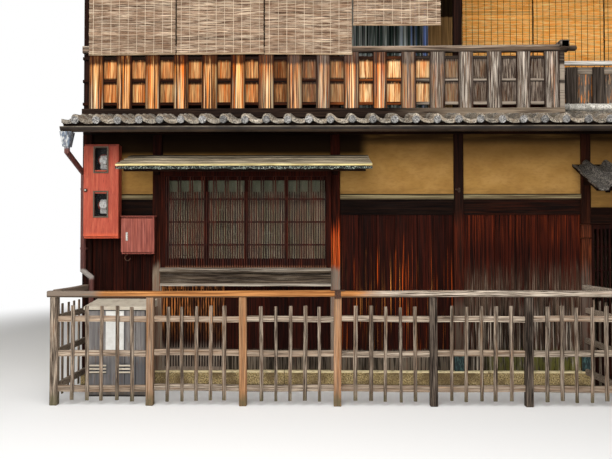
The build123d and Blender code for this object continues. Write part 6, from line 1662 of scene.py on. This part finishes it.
@dataclass
class WallBoxes:
    """What is in and on the meter box and the small box: meters, pane trims, knob, latch and hook."""

    window_x: Span = (-3.257, -3.117)
    windows_z: Spans = ((2.325, 2.590), (1.845, 2.110))
    door_y: float = -4.1223
    # From the middle of a window: the middle of its meter, then the foot and head of the meter's case
    meter_shift: Pair = (0.018, -0.015)
    meter_rise: Pair = (-0.085, 0.070)
    meter_half: float = 0.045
    meter_y: Span = (-4.060, -3.985)
    back_y: Span = (-3.984, -3.978)
    knob: Point = (-3.350, -4.1223, 2.128)
    hook: Point = (-2.925, -4.010, 1.398)
    hook_radii: Pair = (0.030, 0.032)

    def build(self) -> None:
        """Makes the meters with their back boards, the trims and the fittings."""
        meters, backs = Mesher(51), Mesher(50)
        for low, high in self.windows_z:
            x = sum(self.window_x) / 2 + self.meter_shift[0]
            z = (low + high) / 2 + self.meter_shift[1]
            meters.bar(about(x, self.meter_half), self.meter_y,
                       (z + self.meter_rise[0], z + self.meter_rise[1]), chamfer=0.008, tone=0)
            meters.turned(((0, 0.046), (0.030, 0.046), (0.036, 0.040), (0.036, 0.0)), (x, -4.058, z + 0.012),
                          Vector((0, -1, 0)), 20, tone=0.5)
            # Black boards behind the meters are painted shade inside the box
            backs.bar((self.window_x[0] - 0.05, self.window_x[1] + 0.05), self.back_y,
                      (low - 0.06, high + 0.03))
        meters.piece("meters", METER_SHELL, GREY_PAINT)
        backs.piece("meter_back_boards", SEAL_AND_SHADE_BLACK, GREY_PAINT)
        self._trims()
        self._fittings()

    def _trims(self) -> None:
        """Putty-coloured trim round each pane, and a dark bead inside it."""
        trims, beads = Mesher(52), Mesher(53)
        for low, high in self.windows_z:
            for shape, wide, grow, front in ((trims, 0.013, 0.012, 0.0060), (beads, 0.006, 0.0, 0.0035)):
                left, right = self.window_x[0] - grow, self.window_x[1] + grow
                foot, head = low - grow, high + grow
                y = (self.door_y - front, self.door_y + 0.004)
                for x in ((left, left + wide), (right - wide, right)):
                    shape.bar(x, y, (foot, head), chamfer=0.002)
                for z in ((foot, foot + wide), (head - wide, head)):
                    shape.bar((left + wide, right - wide), y, z, X, 0.002)
        trims.piece("meter_window_trims", METER_FRAME, GREY_PAINT, body="meter_box_door")
        beads.piece("meter_window_beads", IRON, GREY_PAINT, body="meter_box_door")

    def _fittings(self) -> None:
        """Knob of the meter box, latch of the small box and the iron hook below it."""
        away = Vector((0, -1, 0))
        rose = Mesher(54)
        rose.turned(((-0.002, 0.019), (0.003, 0.019), (0.005, 0.015)), self.knob, away, 20, tone=0)
        rose.piece("meter_knob_rose", IRON, METAL, body="meter_box_door")
        knob = Mesher(55)
        knob.turned(((0.004, 0.007), (0.010, 0.007), (0.013, 0.011), (0.020, 0.011), (0.023, 0.007)),
                    self.knob, away, 20, tone=0)
        knob.piece("meter_knob", CHROME, METAL, body="meter_box_door", smooth=True)
        latch = Mesher(56)
        latch.bar((-2.931, -2.907), (-4.0680, -4.0615), (1.584, 1.676), tone=0)
        latch.bar((-2.925, -2.913), (-4.0730, -4.0670), (1.600, 1.668), chamfer=0.002, tone=0.4)
        latch.piece("small_box_latch", CHROME, METAL, body="small_box_door")
        loop = Mesher(57)
        x, y, z = self.hook
        wide, tall = self.hook_radii
        turns = [math.pi * (0.5 + step / 8) for step in range(13)]
        bend = [(x + wide * math.cos(turn), y, z + tall * math.sin(turn)) for turn in turns]
        loop.tube([(x, y, z + 1.5 * tall), *bend], 0.0045, tone=0)
        loop.piece("small_box_hook", IRON, METAL)


@dataclass
class GreyCabinet:
    """What is on the grey cabinet behind the fence: door seams, louvres and a blank paper notice."""

    x: Span = (-3.205, -2.600)
    face_y: float = -4.490
    inner_y: float = -4.488
    seams_x: Floats = (-3.066, -2.812, -2.700)
    seams_z: Span = (0.012, 0.874)
    seam_half: float = 0.003
    seam_proud: float = 0.0015
    edge: float = 0.004
    louvre_xs: Spans = ((-3.170, -3.000), (-2.872, -2.748))
    louvre_zs: Floats = (0.314, 0.280, 0.246)
    notice_x: Span = (-3.007, -2.822)
    notice_z: Span = (0.452, 0.868)

    def build(self) -> None:
        """Makes the fittings."""
        seams = Mesher(61)
        left, right = self.x[0] + self.edge, self.x[1] - self.edge
        seam_y = (self.face_y - self.seam_proud, self.inner_y)
        for x in (*self.seams_x, left, right):
            seams.bar(about(x, self.seam_half), seam_y, (0.10, 0.872), chamfer=0.0005)
        for z in self.seams_z:
            seams.bar((left, right), seam_y, about(z, 2 * self.seam_half), X, 0.0005)
        seams.piece("cabinet_seams", SEAL_AND_SHADE_BLACK, GREY_PAINT)
        louvres, slots = Mesher(62), Mesher(63)
        for span in self.louvre_xs:
            for z in self.louvre_zs:
                louvres.bar(span, (self.face_y - 0.010, self.inner_y), about(z, 0.008), X, 0.004, tone=0.8)
                # Black slots under the louvres are painted shade in the openings
                slots.bar(span, (self.face_y - 0.004, self.inner_y), (z - 0.016, z - 0.009), X, 0.001)
        louvres.piece("cabinet_louvres", LID_TAN, GREY_PAINT)
        slots.piece("cabinet_slots", SEAL_AND_SHADE_BLACK, GREY_PAINT)
        notice = Mesher(64)
        notice.bar(self.notice_x, (self.face_y - 0.004, self.face_y), self.notice_z, chamfer=0.001, tone=0)
        notice.piece("blank_notice", PAPER, GREY_PAINT)


@dataclass
class EntranceBalcony:
    """Set-back balcony over the entrance: dark boards over panels, a silver rail, and its end board."""

    x: Span = (1.853, 3.3275)
    board_xs: Floats = (1.925, 2.160, 2.473, 2.786, 3.099, 3.290)
    board_half: float = 0.068
    board_thick: float = 0.018
    face_y: float = -3.385
    z: Span = (3.040, 3.640)
    end_board: Box = ((1.829, 1.853), (-3.9197, -3.340), (3.040, 3.660))
    panel_y: Span = (-3.352, -3.344)
    panel_tuck: float = 0.01
    battens_z: Spans = ((3.040, 3.095), (3.560, 3.640))
    rail_z: Span = (3.668, 3.714)

    def build(self) -> None:
        """Makes boards, panels, rail and battens."""
        boards = Mesher(71)
        for x in self.board_xs:
            half = min(self.board_half, self.x[1] - x)
            boards.bar(about(x, half), (self.face_y, self.face_y + self.board_thick), self.z, wander=0.001,
                       steps=3)
        boards.bar(*self.end_board, tone=-0.5)
        boards.piece("entrance_balcony_boards", BOARD_SOOTY, WOOD, ("entrance_balcony",))
        self._panels()
        rail, battens = Mesher(73), Mesher(74)
        for z in self.battens_z:
            battens.bar(self.x, (self.face_y + 0.019, self.face_y + 0.033), z, X, 0.003, 0.001, 4)
        rail.bar(self.x, (self.face_y - 0.012, self.face_y + 0.045), self.rail_z, X, 0.006, 0.003, 8,
                 tone=0.3)
        rail.piece("entrance_balcony_rail", RAIL_SILVER, WOOD)
        battens.piece("entrance_balcony_battens", BEAM_GREY, WOOD)

    def _panels(self) -> None:
        """A panel in each gap between two boards that leaves one, marked along its upright edges for painted
        shade.
        """
        panels = Mesher(72)
        front, back = self.panel_y
        levels = (self.battens_z[0][1], self.battens_z[1][0])
        outline = ((0, front), (0.25, front), (0.75, front), (1, front), (1, back), (0, back))
        panels.marks["edge"] = []
        for left, right in zip(self.board_xs, self.board_xs[1:]):
            near, far = left + self.board_half - self.panel_tuck, right - self.board_half + self.panel_tuck
            if far - near < 2 * self.panel_tuck:
                continue
            panels.loft([[(near + (far - near) * share, y, z) for share, y in outline] for z in levels])
            panels.marks["edge"] += [1.0, 0.0, 0.0, 1.0, 1.0, 1.0] * len(levels)
        panels.piece("entrance_balcony_panels", PANEL_SOOTY, WOOD)


@dataclass
class Ridge:
    """Ridge of flat courses under half-round caps with collars.

    courses is the span on Z and the half width of each course, from the lowest up.
    """

    name: str
    x: Span
    y: float
    courses: tuple[tuple[Span, float], ...]
    cap_z: float
    radius: float
    finish: Finish
    stands_for: str
    cap_long: float = 0.243
    collar: float = 0.022

    def build(self) -> None:
        """Makes the courses and the caps."""
        edges = even(self.x, round((self.x[1] - self.x[0]) / self.cap_long))
        lengths = list(zip(edges, edges[1:]))
        flat = Mesher(81)
        for z, half in self.courses:
            for near, far in lengths:
                flat.bar((near + 0.002, far - 0.002), about(self.y, half), z, X, 0.006)
        flat.piece(self.name + "_courses", TILE, ROOF_TILE, (self.stands_for,))
        caps = Mesher(82)
        for near, far in lengths:
            long = far - near
            neck = long - self.collar
            caps.turned(((0.0, self.radius * 0.84), (neck, self.radius * 0.87), (neck + 0.001, self.radius),
                         (long - 0.001, self.radius)), (near, self.y, self.cap_z), Vector((1, 0, 0)), 18)
        caps.piece(self.name + "_caps", self.finish, ROOF_TILE)


LEFT_TILE, RIGHT_TILE, ENTRANCE_TILE = -3.3085, 3.3085, 2.0782
PENT_SLOPE, ROOF_SLOPE, ENTRANCE_SLOPE = 0.2, 0.45, 0.5
UPPER_DOOR_Z = (3.05, 4.70)

PARTS: tuple[Part, ...] = (
    Studio(),
    TileRoof("pent_roof_tiles", LEFT_TILE, 31, 3, -4.562, 2.769, 1.0, PENT_SLOPE, ("front_pent_tiles",),
             lip=True),
    TileRoof("entrance_pent_tiles", ENTRANCE_TILE, 6, 3, -3.96, 2.903, 1.0, PENT_SLOPE, seed=5),
    TileRoof("entrance_roof_tiles", ENTRANCE_TILE, 6, 3, -4.604, 2.064, 1.0, ENTRANCE_SLOPE,
             ("entrance_roof",), 9, finish=TILE_SOOTY),
    TileRoof("roof_tiles_front", LEFT_TILE, 31, 21, -4.560, 4.852, 1.0, ROOF_SLOPE, ("main_roof_front",), 6),
    TileRoof("roof_tiles_back", RIGHT_TILE, 31, 21, 4.560, 4.852, -1.0, ROOF_SLOPE, ("main_roof_back",), 7),
    TileRoof("back_pent_roof_tiles", RIGHT_TILE, 31, 3, 4.562, 2.783, -1.0, PENT_SLOPE,
             ("back_pent_tiles",), 8),
    Balcony(),
    ReedBlinds("grey_blind", -3.372, 0.972, 0.957, -3.9843, (3.632, 3.636, 3.630, 3.947), 4.990, REED_GREY,
               STRING_PALE, "grey_reed", ("grey_blinds",), 0.093, 0.0018, 60),
    ReedBlinds("yellow_blind", 0.960, 0.880, 0.862, -2.9993, (3.560, 3.560, 3.560), 4.840, REED_YELLOW,
               STRING_DARK, "yellow_reed", ("yellow_blinds",), 0.078, 0.0034, 70),
    BoardWalls(),
    FrontPosts(),
    Fence(),
    Canopy(),
    Curtain("window_curtain", (-2.5195, -0.7495), -3.870, (1.275, 2.330), 0.006, 22, CLOTH_OLIVE,
            "window_sashes"),
    Curtain("upper_striped_curtain", (-0.62, 0.53), -3.004, UPPER_DOOR_Z, 0.010, 16, CLOTH_STRIPED,
            "upper_front_frame"),
    Curtain("upper_brown_curtain", (0.53, 0.955), -3.008, UPPER_DOOR_Z, 0.012, 5, CLOTH_BROWN,
            "upper_front_frame"),
    WallBoxes(),
    GreyCabinet(),
    EntranceBalcony(),
    Ridge("entrance_ridge_tiles", (1.8533, 3.3275), -3.4447,
          (((2.998, 3.050), 0.053), ((3.056, 3.100), 0.050)), 3.150, 0.048, RIDGE_CAP, "entrance_ridge"),
    Ridge("main_ridge", (-3.4475, 3.4475), 0.0,
          (((6.860, 6.908), 0.102), ((6.914, 6.958), 0.095), ((6.964, 7.008), 0.088)),
          7.058, 0.060, TILE, "roof_ridge"),
)

# Finishes of the frame's nodes that keep their own shape
DRESSED = {
    SILL_BEAM: "balcony_sill",
    TOP_RAIL: "balcony_top_rail",
    BALCONY_RAIL: "balcony_rails",
    BEAM_DARK: "canopy_frame wall_plates eaves_beams entrance_frame entrance_roof_frame",
    FRAME_DARK: "window_frame window_sashes upper_front_sashes upper_front_frame",
    LATTICE: "window_lattice",
    LOWER_BARS: "lower_lattice",
    SILL_GREY: "window_sill",
    RED: "meter_box meter_box_door",
    RED_DULL: "small_box small_box_door",
    METER_GLASS: "meter_box_glass",
    SOFFIT: "back_pent_boards front_pent_boards roof_boards",
    BEAM_GREY: "upper_floor ground_floor",
    STEEL_GREY: "utility_cabinet",
    LID_TAN: "cabinet_lid",
    POST_GREY: "back_board_wall",
    LINTEL: "front_lintels",
    POST_DARK: "back_windows entrance_door entrance_fixed_lattice",
    POST_MIDDLE: "upper_posts",
    PLASTER: "front_plaster back_plaster upper_front_plaster",
    PARTY_PLASTER: "party_wall_left party_wall_right",
    GRANITE: "stone_plinth",
    GUTTER: "front_gutter",
    DOWNPIPE: "downpipe",
    GLASS: "window_panes",
}


def main() -> None:
    """Builds the house piece by piece."""
    logging.basicConfig(level=logging.INFO, format="%(message)s")
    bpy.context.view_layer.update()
    for part in PARTS:
        part.build()
    for finish, names in DRESSED.items():
        dress(finish, *names.split())


if __name__ == "__main__":
    main()
